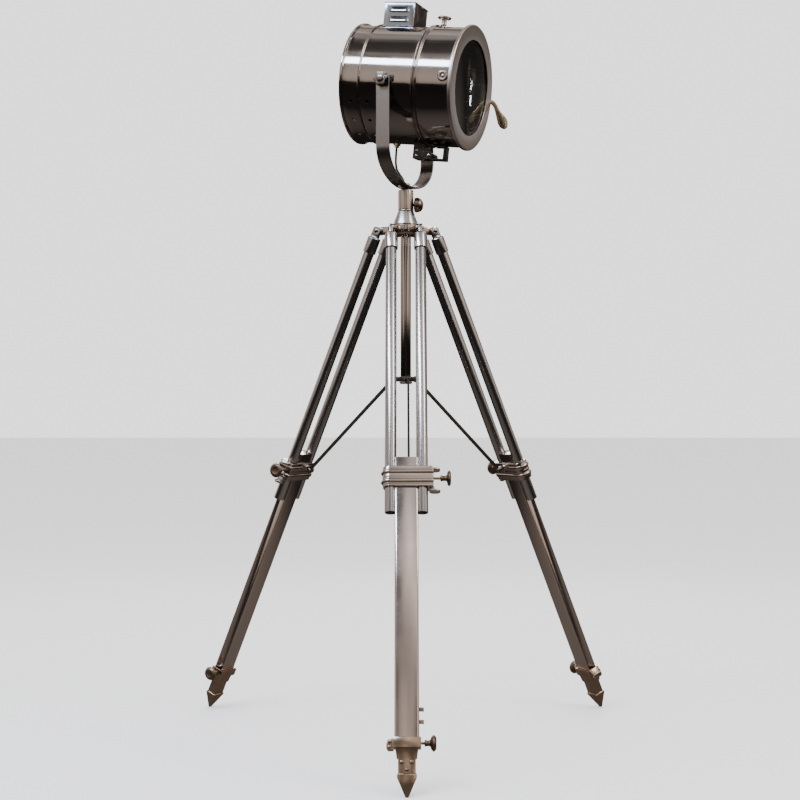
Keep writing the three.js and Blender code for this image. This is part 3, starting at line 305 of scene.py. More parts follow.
def vents_tree():
    """Rows of round holes punched through both cheeks of a drum that lies along x."""
    tree, start, end = geometry_tree("Cooling holes", {
        "Drum Radius": 130.5, "Hole Radius": 4.0, "Middle": -60.5, "Column Gap": 40.0,
        "Lowest": -1.17, "Angle Span": 0.7, "Rows": 3})
    grid = add_node(tree, "GeometryNodeMeshGrid", {
        "Size X": start.outputs["Column Gap"], "Size Y": start.outputs["Angle Span"],
        "Vertices X": 2, "Vertices Y": start.outputs["Rows"]})
    place = add_node(tree, "GeometryNodeInputPosition")
    split = add_node(tree, "ShaderNodeSeparateXYZ", {0: place.outputs[0]})
    half_span = math_node(tree, "MULTIPLY", start.outputs["Angle Span"], 0.5)
    lifted = math_node(tree, "ADD", split.outputs[1], half_span)
    angle = math_node(tree, "ADD", lifted, start.outputs["Lowest"])
    away = add_node(tree, "ShaderNodeCombineXYZ", {
        1: math_node(tree, "COSINE", angle), 2: math_node(tree, "SINE", angle)})
    scaled = add_node(tree, "ShaderNodeVectorMath", {
        0: away.outputs[0], "Scale": start.outputs["Drum Radius"]}, operation="SCALE")
    along = add_node(tree, "ShaderNodeCombineXYZ", {
        0: math_node(tree, "ADD", split.outputs[0], start.outputs["Middle"])})
    spot = add_node(tree, "ShaderNodeVectorMath", {0: scaled.outputs[0], 1: along.outputs[0]},
                    operation="ADD")
    capture = add_node(tree, "GeometryNodeStoreNamedAttribute", {"Name": "outward"},
                       data_type="FLOAT_VECTOR", domain="POINT")
    feed(tree, capture, {"Geometry": grid.outputs["Mesh"], "Value": away.outputs[0]})
    wrap = add_node(tree, "GeometryNodeSetPosition", {
        "Geometry": capture.outputs["Geometry"], "Position": spot.outputs[0]})
    drill = add_node(tree, "GeometryNodeMeshCylinder", {
        "Vertices": 20, "Depth": 14, "Radius": start.outputs["Hole Radius"]})
    drills = add_node(tree, "GeometryNodeInstanceOnPoints", {
        "Points": wrap.outputs["Geometry"], "Instance": drill.outputs["Mesh"],
        "Rotation": facing_rotation(tree, "outward")})
    near = add_node(tree, "GeometryNodeRealizeInstances", {
        "Geometry": drills.outputs["Instances"]})
    far = add_node(tree, "GeometryNodeTransform", {
        "Geometry": near.outputs["Geometry"], "Scale": (1, -1, 1)})
    flip = add_node(tree, "GeometryNodeFlipFaces", {"Mesh": far.outputs["Geometry"]})
    punch = add_node(tree, "GeometryNodeMeshBoolean", {"Mesh 1": start.outputs["Geometry"]},
                     operation="DIFFERENCE", solver="EXACT")
    link(tree, near.outputs["Geometry"], punch.inputs["Mesh 2"])
    link(tree, flip.outputs["Mesh"], punch.inputs["Mesh 2"])
    return close_tree(tree, start, end, punch.outputs["Mesh"])


def row_tree():
    """Copies of a shape in a straight row, and the same row turned to the far side."""
    tree, start, end = geometry_tree("Row on both cheeks", {"Count": 2, "Step": (0, 0, 22)})
    line = add_node(tree, "GeometryNodeMeshLine", {
        "Count": start.outputs["Count"], "Offset": start.outputs["Step"]})
    row = add_node(tree, "GeometryNodeInstanceOnPoints", {
        "Points": line.outputs["Mesh"], "Instance": start.outputs["Geometry"]})
    far = add_node(tree, "GeometryNodeTransform", {
        "Geometry": row.outputs["Instances"], "Rotation": (0, 0, math.pi)})
    both = add_node(tree, "GeometryNodeJoinGeometry")
    link(tree, row.outputs["Instances"], both.inputs["Geometry"])
    link(tree, far.outputs["Geometry"], both.inputs["Geometry"])
    return close_tree(tree, start, end, both.outputs["Geometry"])


def tree_named(name, make):
    return bpy.data.node_groups.get(name) or make()


# ------------------------------------------------------------------ shapes, in millimetres
WELD = 0.0004                  # points nearer than this are one point


def filleted(points, radius, closed=False, steps=3):
    """The outline with each sharp corner rounded off."""
    result = []
    count = len(points)
    for index, point in enumerate(points):
        ends = not closed and index in (0, count - 1)
        here = Vector(point)
        before = Vector(points[index - 1]) - here
        after = Vector(points[(index + 1) % count]) - here
        if ends or before.length < 1e-6 or after.length < 1e-6:
            result.append(tuple(here))
            continue
        bend = before.angle(after)
        reach = min(radius, before.length * 0.45, after.length * 0.45)
        if bend > math.radians(165) or reach < 0.02:
            result.append(tuple(here))
            continue
        first = here + before.normalized() * reach
        last = here + after.normalized() * reach
        for step in range(steps + 1):
            t = step / steps
            result.append(tuple(first * (1 - t) ** 2 + here * 2 * t * (1 - t) + last * t * t))
    return result


def arc(centre, radius, start, end, steps):
    return [
        (centre[0] + radius * math.cos(start + (end - start) * i / steps),
         centre[1] + radius * math.sin(start + (end - start) * i / steps))
        for i in range(steps + 1)
    ]


def to_bmesh(mesh):
    shape = bmesh.new()
    shape.from_mesh(mesh)
    bpy.data.meshes.remove(mesh)
    return shape


def outward(shape):
    bmesh.ops.remove_doubles(shape, verts=shape.verts, dist=WELD)
    bmesh.ops.recalc_face_normals(shape, faces=shape.faces)
    return shape


def turned(profile, sides=None, rounding=0.5, closed=False):
    """Radius and height pairs turned round z. A closed profile makes a ring or a tube."""
    points = filleted(profile, rounding, closed)
    edges = [(i, i + 1) for i in range(len(points) - 1)]
    if closed:
        edges.append((len(points) - 1, 0))
    mesh = bpy.data.meshes.new("profile")
    mesh.from_pydata([(r - TURNING_RADIUS, -z, 0) for r, z in points], edges, [])
    tree = tree_named("Turned piece", turned_tree)
    made = grown(mesh, tree, {"Sides": sides or sizes().round_steps}, None)
    return outward(to_bmesh(made))


def ring(inner, outer, low, high, **more):
    return turned([(inner, low), (outer, low), (outer, high), (inner, high)],
                  closed=True, **more)


def disc(radius, low, high, **more):
    return turned([(0, low), (radius, low), (radius, high), (0, high)], **more)


def placed(shape, matrix):
    bmesh.ops.transform(shape, matrix=matrix, verts=shape.verts)
    return shape


def shifted(shape, x=0.0, y=0.0, z=0.0):
    return placed(shape, Matrix.Translation((x, y, z)))


def spun(shape, axis, degrees):
    return placed(shape, Matrix.Rotation(math.radians(degrees), 4, axis))


def along_x(shape):
    return spun(shape, "Y", 90)


def along_y(shape):
    return spun(shape, "X", -90)


def stood_on_edge(shape, x=0.0, z=0.0):
    """Turns a flat plate so that its outline lies in y and z."""
    return placed(shape, Matrix(((0, 0, 1, x), (1, 0, 0, 0), (0, 1, 0, z), (0, 0, 0, 1))))


def joined(*shapes):
    whole = shapes[0]
    for shape in shapes[1:]:
        mesh = bpy.data.meshes.new("joining")
        shape.to_mesh(mesh)
        shape.free()
        whole.from_mesh(mesh)
        bpy.data.meshes.remove(mesh)
    return whole


def softened(shape, width=None, angle=35, steps=2):
    """Rounds every edge that is sharper than the angle."""
    width = millimetres(sizes().edge) if width is None else width
    limit = math.radians(angle)
    edges = [e for e in shape.edges if len(e.link_faces) == 2
             and e.calc_face_angle(0) > limit]
    bmesh.ops.bevel(shape, geom=edges, offset=width, offset_type="OFFSET", segments=steps,
                    profile=0.5, affect="EDGES", clamp_overlap=True)
    return shape


def prism(outline, low, high):
    shape = bmesh.new()
    bottom = [shape.verts.new((x, y, low)) for x, y in outline]
    top = [shape.verts.new((x, y, high)) for x, y in outline]
    shape.faces.new(bottom)
    shape.faces.new(top)
    for i, vert in enumerate(bottom):
        j = (i + 1) % len(bottom)
        shape.faces.new((vert, bottom[j], top[j], top[i]))
    return outward(shape)


def skinned(shape, rings):
    """Joins a row of equal rings of points with faces and closes both ends."""
    count = len(rings[0])
    for first, second in zip(rings, rings[1:]):
        for i in range(count):
            j = (i + 1) % count
            shape.faces.new((first[i], first[j], second[j], second[i]))
    shape.faces.new(rings[0])
    shape.faces.new(rings[-1])
    return shape


def block(x0, x1, y0, y1, z0, z1):
    return prism([(x0, y0), (x1, y0), (x1, y1), (x0, y1)], z0, z1)


def as_object(shape, name="temporary"):
    mesh = bpy.data.meshes.new(name)
    shape.to_mesh(mesh)
    shape.free()
    result = bpy.data.objects.new(name, mesh)
    bpy.context.scene.collection.objects.link(result)
    return result


def without(shape, *cutters):
    """The shape with the cutters' space taken away."""
    body = as_object(shape)
    tools = [as_object(cutter) for cutter in cutters]
    for tool in tools:
        modifier = body.modifiers.new("cut", "BOOLEAN")
        modifier.operation = "DIFFERENCE"
        modifier.solver = "EXACT"
        modifier.object = tool
    graph = bpy.context.evaluated_depsgraph_get()
    mesh = bpy.data.meshes.new_from_object(body.evaluated_get(graph), depsgraph=graph)
    for used in (body, *tools):
        old = used.data
        bpy.data.objects.remove(used)
        bpy.data.meshes.remove(old)
    result = to_bmesh(mesh)
    bmesh.ops.remove_doubles(result, verts=result.verts, dist=WELD)
    return result


def cad_shape(node, matrix, width=0.6):
    """A CAD solid in a piece's own frame, with flats joined and edges rounded."""
    shape = bmesh.new()
    shape.from_mesh(frame["nodes"][node].data)
    placed(shape, matrix.inverted())
    bmesh.ops.remove_doubles(shape, verts=shape.verts, dist=0.002)
    bmesh.ops.dissolve_limit(shape, angle_limit=math.radians(1), verts=shape.verts,
                             edges=shape.edges)
    return softened(shape, width)


# ------------------------------------------------------------------ pieces
def settle(mesh, matrix, smooth):
    """Moves a mesh into the lamp, with each point's own place kept for the finishes."""
    own = [vert.co * MM for vert in mesh.vertices]
    mesh.transform(matrix)
    grain = mesh.attributes.new("grain", "FLOAT_VECTOR", "POINT")
    grain.data.foreach_set("vector", [value for place in own for value in place])
    mesh.shade_smooth()
    mesh.set_sharp_from_angle(angle=math.radians(smooth))


def make_piece(name, shape, matrix, body, material, hides=(), smooth=32):
    """Puts a finished shape in the lamp, riding on its body, in place of its CAD nodes."""
    piece = as_object(shape, name)
    settle(piece.data, matrix, smooth)
    for item in material if isinstance(material, list) else [material]:
        piece.data.materials.append(item)
    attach(piece, body)
    if hides:
        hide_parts(*hides)


def fastener_set(name, spots, matrix, body, material, radius, height, slot_width=0.0):
    """Round heads at spots, each a place and the way it faces, in the piece's millimetres."""
    mesh = bpy.data.meshes.new("spots")
    mesh.from_pydata([place for place, _ in spots], [], [])
    facing = mesh.attributes.new("facing", "FLOAT_VECTOR", "POINT")
    facing.data.foreach_set("vector", [value for _, way in spots for value in way])
    values = {"Radius": radius, "Height": height, "Slot": slot_width, "Seed": 3}
    made = grown(mesh, tree_named("Screw heads", heads_tree), values, material)
    make_piece(name, outward(to_bmesh(made)), matrix, body, material)


# ------------------------------------------------------------------ finish groups
def shader_group(name, inputs, outputs):
    """A new shader group that takes a Vector and the named inputs."""
    tree = bpy.data.node_groups.new(name, "ShaderNodeTree")
    add_sockets(tree, "INPUT", {"Vector": (0.0, 0.0, 0.0), **inputs})
    add_sockets(tree, "OUTPUT", outputs)
    return tree, add_node(tree, "NodeGroupInput"), add_node(tree, "NodeGroupOutput")


def noise(tree, vector, scale, detail=4.0, roughness=0.55, distortion=0.0):
    node = add_node(tree, "ShaderNodeTexNoise", {
        "Vector": vector, "Scale": scale, "Detail": detail, "Roughness": roughness,
        "Distortion": distortion})
    return node.outputs["Fac"]


def spread(tree, value, low, high, to_low=0.0, to_high=1.0):
    node = add_node(tree, "ShaderNodeMapRange", {
        "Value": value, "From Min": low, "From Max": high, "To Min": to_low,
        "To Max": to_high}, clamp=True)
    return node.outputs["Result"]


def stretched(tree, vector, scale):
    node = add_node(tree, "ShaderNodeVectorMath", {0: vector, 1: scale}, operation="MULTIPLY")
    return node.outputs[0]


def mixed(tree, factor, first, second, blend="MIX"):
    """A mix of two colours, each a socket or three numbers."""
    pair = {key: (*value, 1) if isinstance(value, tuple) else value
            for key, value in ((6, first), (7, second))}
    node = add_node(tree, "ShaderNodeMix", {0: factor, **pair}, data_type="RGBA",
                    blend_type=blend)
    return node.outputs[2]


def polish_group():
    """Handled plate: smears in the shine, hair scratches and the slight swell of spun sheet."""
    tree, start, end = shader_group(
        "Handled polish", {"Roughness": 0.1, "Smear": 0.08, "Swell": 0.5, "Scratch": 0.3},
        {"Roughness": 0.0, "Height": 0.0})
    vector = start.outputs["Vector"]
    cloud = noise(tree, vector, 9, 5, 0.6, 0.4)
    smear = spread(tree, cloud, 0.42, 0.72, 0.0, start.outputs["Smear"])
    hairs = noise(tree, stretched(tree, vector, (60, 900, 900)), 1, 2, 0.5)
    hair = spread(tree, hairs, 0.55, 0.8, 0.0, start.outputs["Scratch"])
    rough = math_node(tree, "ADD", start.outputs["Roughness"], smear)
    swell = math_node(tree, "MULTIPLY", noise(tree, vector, 14, 1, 0.4), start.outputs["Swell"])
    feed(tree, end, {
        "Roughness": math_node(tree, "ADD", rough, math_node(tree, "MULTIPLY", hair, 0.15)),
        "Height": math_node(tree, "ADD", swell, math_node(tree, "MULTIPLY", hair, 0.02))})
    return tree


def grain_group():
    """Brushed metal: long fine lines, stretched along one direction of the piece."""
    tree, start, end = shader_group(
        "Brushed grain", {"Stretch": (1500, 1500, 25), "Roughness": 0.25, "Depth": 0.12},
        {"Roughness": 0.0, "Height": 0.0, "Mask": 0.0})
    lines = noise(tree, stretched(tree, start.outputs["Vector"], start.outputs["Stretch"]),
                  1, 3, 0.6)
    depth = start.outputs["Depth"]
    swing = math_node(tree, "MULTIPLY", math_node(tree, "SUBTRACT", lines, 0.5), depth)
    feed(tree, end, {
        "Roughness": math_node(tree, "ADD", start.outputs["Roughness"], swing),
        "Height": math_node(tree, "MULTIPLY", lines, depth),
        "Mask": spread(tree, lines, 0.35, 0.65)})
    return tree


def patina_group():
    """Antique plate: cloudy darkening with rubbed lighter patches and small pits."""
    tree, start, end = shader_group(
        "Antique patina", {
            "Dark": (0.1, 0.08, 0.06, 1), "Rubbed": (0.6, 0.5, 0.4, 1), "Scale": 40.0,
            "Amount": 0.5, "Roughness": 0.3},
        {"Color": (0, 0, 0, 1), "Roughness": 0.0, "Height": 0.0})
    vector = start.outputs["Vector"]
    cloud = noise(tree, vector, start.outputs["Scale"], 6, 0.62, 0.6)
    rub = spread(tree, cloud, 0.40, 0.66, 0.0, start.outputs["Amount"])
    pits = add_node(tree, "ShaderNodeTexVoronoi", {"Vector": vector, "Scale": 900})
    pit = spread(tree, pits.outputs["Distance"], 0.0, 0.25)
    feed(tree, end, {
        "Color": mixed(tree, rub, start.outputs["Dark"], start.outputs["Rubbed"]),
        "Roughness": math_node(tree, "SUBTRACT", start.outputs["Roughness"],
                               math_node(tree, "MULTIPLY", rub, 0.14)),
        "Height": math_node(tree, "ADD", math_node(tree, "MULTIPLY", cloud, 0.5),
                            math_node(tree, "MULTIPLY", pit, 0.15))})
    return tree


def edge_wear_and_highlight_group():
    """How near a surface point is to a convex edge, from 0 on flats to 1 on the edge."""
    tree, start, end = shader_group(
        "Edge wear and highlight", {"Reach": 0.0012, "Break Up": 0.5}, {"Mask": 0.0})
    rounded = add_node(tree, "ShaderNodeBevel", {"Radius": start.outputs["Reach"]}, samples=4)
    plain = add_node(tree, "ShaderNodeNewGeometry")
    dot = add_node(tree, "ShaderNodeVectorMath", {
        0: rounded.outputs[0], 1: plain.outputs["Normal"]}, operation="DOT_PRODUCT")
    edge = spread(tree, dot.outputs["Value"], 0.995, 0.86)
    patch = noise(tree, start.outputs["Vector"], 260, 3, 0.6)
    broken = math_node(tree, "SUBTRACT", edge,
                       math_node(tree, "MULTIPLY", patch, start.outputs["Break Up"]))
    feed(tree, end, {"Mask": spread(tree, broken, 0.0, 0.6)})
    return tree


def dust_group():
    """A thin film of dust that shows in patches."""
    tree, start, end = shader_group(
        "Dust film", {"Color": (0.5, 0.5, 0.5, 1), "Amount": 0.1}, {"Color": (0, 0, 0, 1)})
    patch = spread(tree, noise(tree, start.outputs["Vector"], 22, 6, 0.65), 0.45, 0.75,
                   0.0, start.outputs["Amount"])
    feed(tree, end, {"Color": mixed(tree, patch, start.outputs["Color"], (0.42, 0.39, 0.36))})
    return tree


def group_node(tree, name, make, **values):
    """A finish group in a material. An underscore in a value's name stands for a space."""
    inputs = {}
    for key, value in values.items():
        colour = isinstance(value, tuple) and key != "Stretch"
        inputs[key.replace("_", " ")] = (*value, 1) if colour else value
    return add_node(tree, "ShaderNodeGroup", inputs, node_tree=tree_named(name, make))


def new_material(name):
    material = bpy.data.materials.new(name)
    material.use_nodes = True
    tree = material.node_tree
    source = add_node(tree, "ShaderNodeAttribute", attribute_name="grain")
    return material, tree, tree.nodes["Principled BSDF"], source.outputs["Vector"]


def add_bump(tree, shader, height, distance, strength=1.0):
    bump = add_node(tree, "ShaderNodeBump", {
        "Strength": strength, "Distance": distance, "Height": height})
    feed(tree, shader, {"Normal": bump.outputs["Normal"]})


def metal(name, colour, roughness, smear=0.08, swell=0.5, scratch=0.3, tint=0.12,
          distance=0.0004):
    """Polished or satin plate."""
    material, tree, shader, vector = new_material(name)
    polish = group_node(tree, "Handled polish", polish_group, Vector=vector,
                        Roughness=roughness, Smear=smear, Swell=swell, Scratch=scratch)
    dust = group_node(tree, "Dust film", dust_group, Vector=vector, Color=tuple(colour),
                      Amount=tint)
    feed(tree, shader, {"Metallic": 1, "Base Color": dust.outputs["Color"],
                        "Roughness": polish.outputs["Roughness"]})
    add_bump(tree, shader, polish.outputs["Height"], distance)
    return material


def brushed(name, colour, stretch, roughness=0.26, depth=0.14, contrast=0.16, relief=0.6):
    """Metal with long lines along one direction."""
    material, tree, shader, vector = new_material(name)
    grain = group_node(tree, "Brushed grain", grain_group, Vector=vector, Stretch=stretch,
                       Roughness=roughness, Depth=depth)
    dark = tuple(value * (1 - contrast) for value in colour)
    shade = mixed(tree, grain.outputs["Mask"], dark, tuple(colour))
    dust = group_node(tree, "Dust film", dust_group, Vector=vector, Color=shade, Amount=0.08)
    feed(tree, shader, {"Metallic": 1, "Base Color": dust.outputs["Color"],
                        "Roughness": grain.outputs["Roughness"]})
    add_bump(tree, shader, grain.outputs["Height"], 0.0002, relief)
    return material


def antique(name, dark, rubbed, roughness=0.32, amount=0.55, scale=45.0, reach=0.0014):
    """Antique plate, darker in its clouds, with its edges rubbed lighter by wear and made lighter
    still as a painted highlight.
    """
    material, tree, shader, vector = new_material(name)
    patina = group_node(tree, "Antique patina", patina_group, Vector=vector, Dark=tuple(dark),
                        Rubbed=tuple(rubbed), Scale=scale, Amount=amount, Roughness=roughness)
    wear = group_node(tree, "Edge wear and highlight", edge_wear_and_highlight_group, Vector=vector, Reach=reach, Break_Up=0.5)
    # edge colour: rubbed wear, made lighter still as a painted highlight on the edges
    worn_edge_and_highlight = tuple(min(1.0, value * 1.25) for value in rubbed)
    colour = mixed(tree, wear.outputs["Mask"], patina.outputs["Color"], worn_edge_and_highlight)
    feed(tree, shader, {"Metallic": 1, "Base Color": colour,
                        "Roughness": patina.outputs["Roughness"]})
    add_bump(tree, shader, patina.outputs["Height"], 0.00025, 0.7)
    return material


def black_finish(name, colour, roughness=0.42):
    """Blackened steel that shows grey metal along its edges."""
    material, tree, shader, vector = new_material(name)
    wear = group_node(tree, "Edge wear and highlight", edge_wear_and_highlight_group, Vector=vector, Reach=0.0009, Break_Up=0.7)
    polish = group_node(tree, "Handled polish", polish_group, Vector=vector,
                        Roughness=roughness, Smear=0.15, Swell=0.4, Scratch=0.5)
    shade = mixed(tree, wear.outputs["Mask"], tuple(colour), (0.30, 0.27, 0.25))
    feed(tree, shader, {"Metallic": 0.9, "Base Color": shade,
                        "Roughness": polish.outputs["Roughness"]})
    add_bump(tree, shader, polish.outputs["Height"], 0.0004)
    return material


def glass(name, tint, roughness):
    material, tree, shader, vector = new_material(name)
    film = group_node(tree, "Handled polish", polish_group, Vector=vector,
                      Roughness=roughness, Smear=0.03, Swell=0.1, Scratch=0.1)
    feed(tree, shader, {"Base Color": (*tint, 1), "Transmission Weight": 1, "IOR": 1.45,
                        "Roughness": film.outputs["Roughness"]})
    return material


def plain_moulding(name, colour, roughness, speckle=0.04):
    material, tree, shader, vector = new_material(name)
    cloud = noise(tree, vector, 60, 5, 0.6)
    shade = mixed(tree, spread(tree, cloud, 0.3, 0.7), tuple(c * (1 - speckle) for c in colour),
                  tuple(colour))
    feed(tree, shader, {
        "Base Color": shade,
        "Roughness": spread(tree, cloud, 0.3, 0.7, roughness, roughness + 0.1)})
    add_bump(tree, shader, noise(tree, vector, 900, 2), 0.0001, 0.4)
    return material


# painted reflections: the pale lines are reflections painted into the drum's inside
PAINTED_REFLECTION_LINES = 26              # pale lines round the inside of a drum


def painted_shade_and_reflection_inside(name, dark, pale):
    """The inside of a drum that lies along x, painted near black as shade, with thin pale lines
    along it that are painted reflections.
    """
    material, tree, shader, vector = new_material(name)
    split = add_node(tree, "ShaderNodeSeparateXYZ", {0: vector})
    angle = math_node(tree, "ARCTAN2", split.outputs[2], split.outputs[1])
    lines = math_node(tree, "FRACT",
                      math_node(tree, "MULTIPLY", angle, PAINTED_REFLECTION_LINES / (2 * math.pi)))
    line = spread(tree, lines, 0.93, 0.97)
    cloud = spread(tree, noise(tree, vector, 14, 4, 0.6), 0.4, 0.6, 0.2, 1.0)
    # near-black painted shade, with pale lines as painted reflections
    shade = mixed(tree, math_node(tree, "MULTIPLY", line, cloud), tuple(dark), tuple(pale))
    feed(tree, shader, {"Specular IOR Level": 0.2, "Base Color": shade,
                        "Roughness": spread(tree, cloud, 0.2, 1.0, 0.5, 0.4)})
    return material


def build_finishes():
    tone = colours()
    return {
        "nickel": metal("Polished nickel", tone.nickel, 0.07, 0.05, 0.35, 0.25, 0.10),
        # vent: the bluish colour on the vent's cheeks is a painted reflection of the window light
        "vent": metal("Nickel with painted bluish reflection", (0.33, 0.37, 0.41), 0.10, 0.06, 0.9, 0.2, 0.06),
        # inside: near-black painted shade with pale lines as painted reflections
        "inside": painted_shade_and_reflection_inside("Inside with painted shade and reflections", (0.04, 0.039, 0.039), (0.85, 0.85, 0.86)),
        "steel": brushed("Brushed steel", tone.steel, (260, 260, 4), 0.19, 0.04, 0.10, 0.03),
        "cone": brushed("Turned steel", tone.steel, (30, 30, 1500), 0.26, 0.08, 0.2, 0.3),
        "bar": metal("Plated bar", tone.bar, 0.13, 0.10, 0.25, 0.5, 0.16),
        "clamp": metal("Plated clamp", tone.clamp, 0.16, 0.08, 0.6, 0.3, 0.12),
        "satin": brushed("Satin plate", tone.satin, (90, 700, 90), 0.30, 0.05, 0.06, 0.12),
        "rim": brushed("Satin rim", tone.rim, (500, 160, 160), 0.33, 0.06, 0.08, 0.15),
        "nut": antique("Lobed nut plate", (0.20, 0.18, 0.165), (0.42, 0.38, 0.35), 0.26, 0.4,
                       25.0),
        "bronze": antique("Antique bronze", tone.bronze, tone.worn, 0.24, 0.45, 22.0, 0.0018),
        "knob": antique("Dark knob bronze", tuple(c * 0.5 for c in tone.bronze),
                        tuple(c * 0.75 for c in tone.worn), 0.34, 0.4),
        "black": black_finish("Blackened steel", tone.black),
        "brass": antique("Pale brass", tone.brass, (0.86, 0.77, 0.58), 0.24, 0.7, 60.0),
        "holder": plain_moulding("Holder moulding", (0.78, 0.75, 0.68), 0.4),
        "lens": glass("Lens glass", (0.93, 0.95, 0.95), 0.01),
        "bulb": glass("Bulb glass", (0.97, 0.97, 0.95), 0.12),
        "flex": plain_moulding("Flex rubber", (0.008, 0.008, 0.009), 0.6),
    }


FINISH = {}


def finish_of(name):
    if not FINISH:
        FINISH.update(build_finishes())
    return FINISH[name]


# ------------------------------------------------------------------ stage
CAMERA = {"sensor": 36, "lens": 65.7, "rise": 0.0065, "left": 0.0131, "away": 3.3,
          "height": 0.738}
FLOOR_HALF = 30
FLOOR_DROP = 0.0005            # keeps the floor just clear of the spikes
PANE = {"away": 2.5, "strength": 14}


class LAMP_OT_stage(bpy.types.Operator):
    """Adds the camera, the pale floor, the world and the studio lights"""

    bl_idname = "lamp.stage"
    bl_label = "Stage"

    def execute(self, context):
        scene = context.scene
        lens = bpy.data.cameras.new("Camera")
        lens.sensor_width = CAMERA["sensor"]
        lens.lens = CAMERA["lens"]
        lens.shift_y = CAMERA["rise"]
        camera = bpy.data.objects.new("Camera", lens)
        camera.location = (AXIS.x - CAMERA["left"], AXIS.y - CAMERA["away"],
                           CAMERA["height"])
        camera.rotation_euler = (math.pi / 2, 0, 0)
        scene.collection.objects.link(camera)
        scene.camera = camera
        self.floor(scene.collection)
        self.world(scene)
        head = Vector((AXIS.x, AXIS.y, 1.3))
        add_light("Window", head, -46, 37, 3.4, (2.6, 0.62), 105, (0.66, 0.80, 1.0))
        add_light("Fill", head, 62, 30, 3.2, (0.7, 1.6), 30, (1.0, 0.93, 0.86))
        add_light("Back", head, 172, 18, 3.0, (1.6, 0.6), 22, (0.95, 0.97, 1.0))
        for y, z, size in ((52, 29, (0.02, 0.03)), (10, 5, (0.028, 0.03)),
                           (19, -44, (0.045, 0.07))):
            self.pane(Vector(camera.location), HEAD @ Vector((155, y, z)), size)
        return {"FINISHED"}

    def pane(self, eye, spot, size):
        """A small window pane that the flat lens mirrors at the spot."""
        way = (spot - eye).normalized()
        way = way - HEAD_X * 2 * way.dot(HEAD_X)
        azimuth = math.degrees(math.atan2(way.x, -way.y))
        elevation = math.degrees(math.asin(way.z))
        power = PANE["strength"] * math.pi * size[0] * size[1]
        add_light("Pane", spot, azimuth, elevation, PANE["away"], size, power,
                  (0.93, 0.96, 1.0))

    def floor(self, collection):
        """A pale floor that round polished pieces mirror as a dark one."""
        half = FLOOR_HALF
        mesh = bpy.data.meshes.new("Floor")
        mesh.from_pydata([(-half, -half, 0), (half, -half, 0), (half, half, 0),
                          (-half, half, 0)], [], [(0, 1, 2, 3)])
        floor = bpy.data.objects.new("Floor", mesh)
        floor.location.z = -FLOOR_DROP
        collection.objects.link(floor)
        material = bpy.data.materials.new("Studio floor")
        material.use_nodes = True
        tree = material.node_tree
        shader = feed(tree, tree.nodes["Principled BSDF"], {
            "Base Color": (*colours().floor, 1), "Roughness": 0.8, "Specular IOR Level": 0.1})
        place = add_node(tree, "ShaderNodeTexCoord").outputs["Object"]
        away = add_node(tree, "ShaderNodeVectorMath", {0: place, 1: (AXIS.x, AXIS.y, 0)},
                        operation="DISTANCE")
        near = spread(tree, away.outputs["Value"], 1.5, 0.2)
        dim = add_node(tree, "ShaderNodeBsdfDiffuse", {
            "Color": mixed(tree, near, (0.009, 0.008, 0.0075), (0.10, 0.083, 0.07))})
        path = add_node(tree, "ShaderNodeLightPath")
        mix = add_node(tree, "ShaderNodeMixShader", {
            0: path.outputs["Is Glossy Ray"], 1: shader.outputs[0], 2: dim.outputs[0]})
        feed(tree, tree.nodes["Material Output"], {"Surface": mix.outputs[0]})
        mesh.materials.append(material)

    def world(self, scene):
        """A pale backdrop, and a room that only polished pieces mirror."""
        world = bpy.data.worlds.new("Studio")
        scene.world = world
        world.use_nodes = True
        tree = world.node_tree
        tree.nodes.clear()
        way = add_node(tree, "ShaderNodeTexCoord").outputs["Generated"]
        height = add_node(tree, "ShaderNodeSeparateXYZ", {0: way})
        stops = [
            (0.47, (0.025, 0.021, 0.019)), (0.50, (0.10, 0.08, 0.07)),
            (0.52, (0.70, 0.58, 0.49)), (0.60, (0.80, 0.68, 0.59)),
            (0.72, (0.52, 0.46, 0.42)), (0.80, (0.80, 0.70, 0.64)), (0.87, (1.15, 1.0, 0.92)),
            (0.93, (0.62, 0.58, 0.56)), (1.0, (0.42, 0.385, 0.37)),
        ]
        lift = math_node(tree, "MULTIPLY_ADD", height.outputs[2], 0.5, 0.5)
        ramp = add_node(tree, "ShaderNodeValToRGB", {0: lift})
        marks = ramp.color_ramp.elements
        while len(marks) < len(stops):
            marks.new(0.5)
        for mark, (place, colour) in zip(marks, stops):
            mark.position = place
            mark.color = (*colour, 1)
        # doorways and walls round the room, seen as upright streaks in round pieces
        streaks = noise(tree, stretched(tree, way, (3.2, 3.2, 0.35)), 1, 2, 0.5)
        streak = spread(tree, streaks, 0.38, 0.62, 0.16, 1.55)
        walls = mixed(tree, 1.0, ramp.outputs[0], streak, "MULTIPLY")
        left = self.towards(tree, way, (-0.80, -0.58, 0.22), 0.90, 0.99, 0.8)
        pale_wall = mixed(tree, left, walls, (0.86, 0.76, 0.69))
        doorway = self.towards(tree, way, (0.63, 0.73, 0.26), 0.955, 0.985, 0.9)
        lit = mixed(tree, doorway, pale_wall, (0.03, 0.03, 0.032))
        room = add_node(tree, "ShaderNodeBackground", {"Color": lit, "Strength": 0.95})
        pale = add_node(tree, "ShaderNodeBackground", {
            "Color": (0.97, 0.97, 0.97, 1), "Strength": 2.0})
        path = add_node(tree, "ShaderNodeLightPath")
        seen = math_node(tree, "MAXIMUM", path.outputs["Is Camera Ray"],
                         path.outputs["Is Diffuse Ray"])
        mix = add_node(tree, "ShaderNodeMixShader", {
            0: seen, 1: room.outputs[0], 2: pale.outputs[0]})
        add_node(tree, "ShaderNodeOutputWorld", {"Surface": mix.outputs[0]})

    def towards(self, tree, way, direction, far, near, most):
        """How near a direction of the room is to the one given, from 0 up to the most."""
        dot = add_node(tree, "ShaderNodeVectorMath", {
            0: way, 1: Vector(direction).normalized()}, operation="DOT_PRODUCT")
        return spread(tree, dot.outputs["Value"], far, near, 0.0, most)


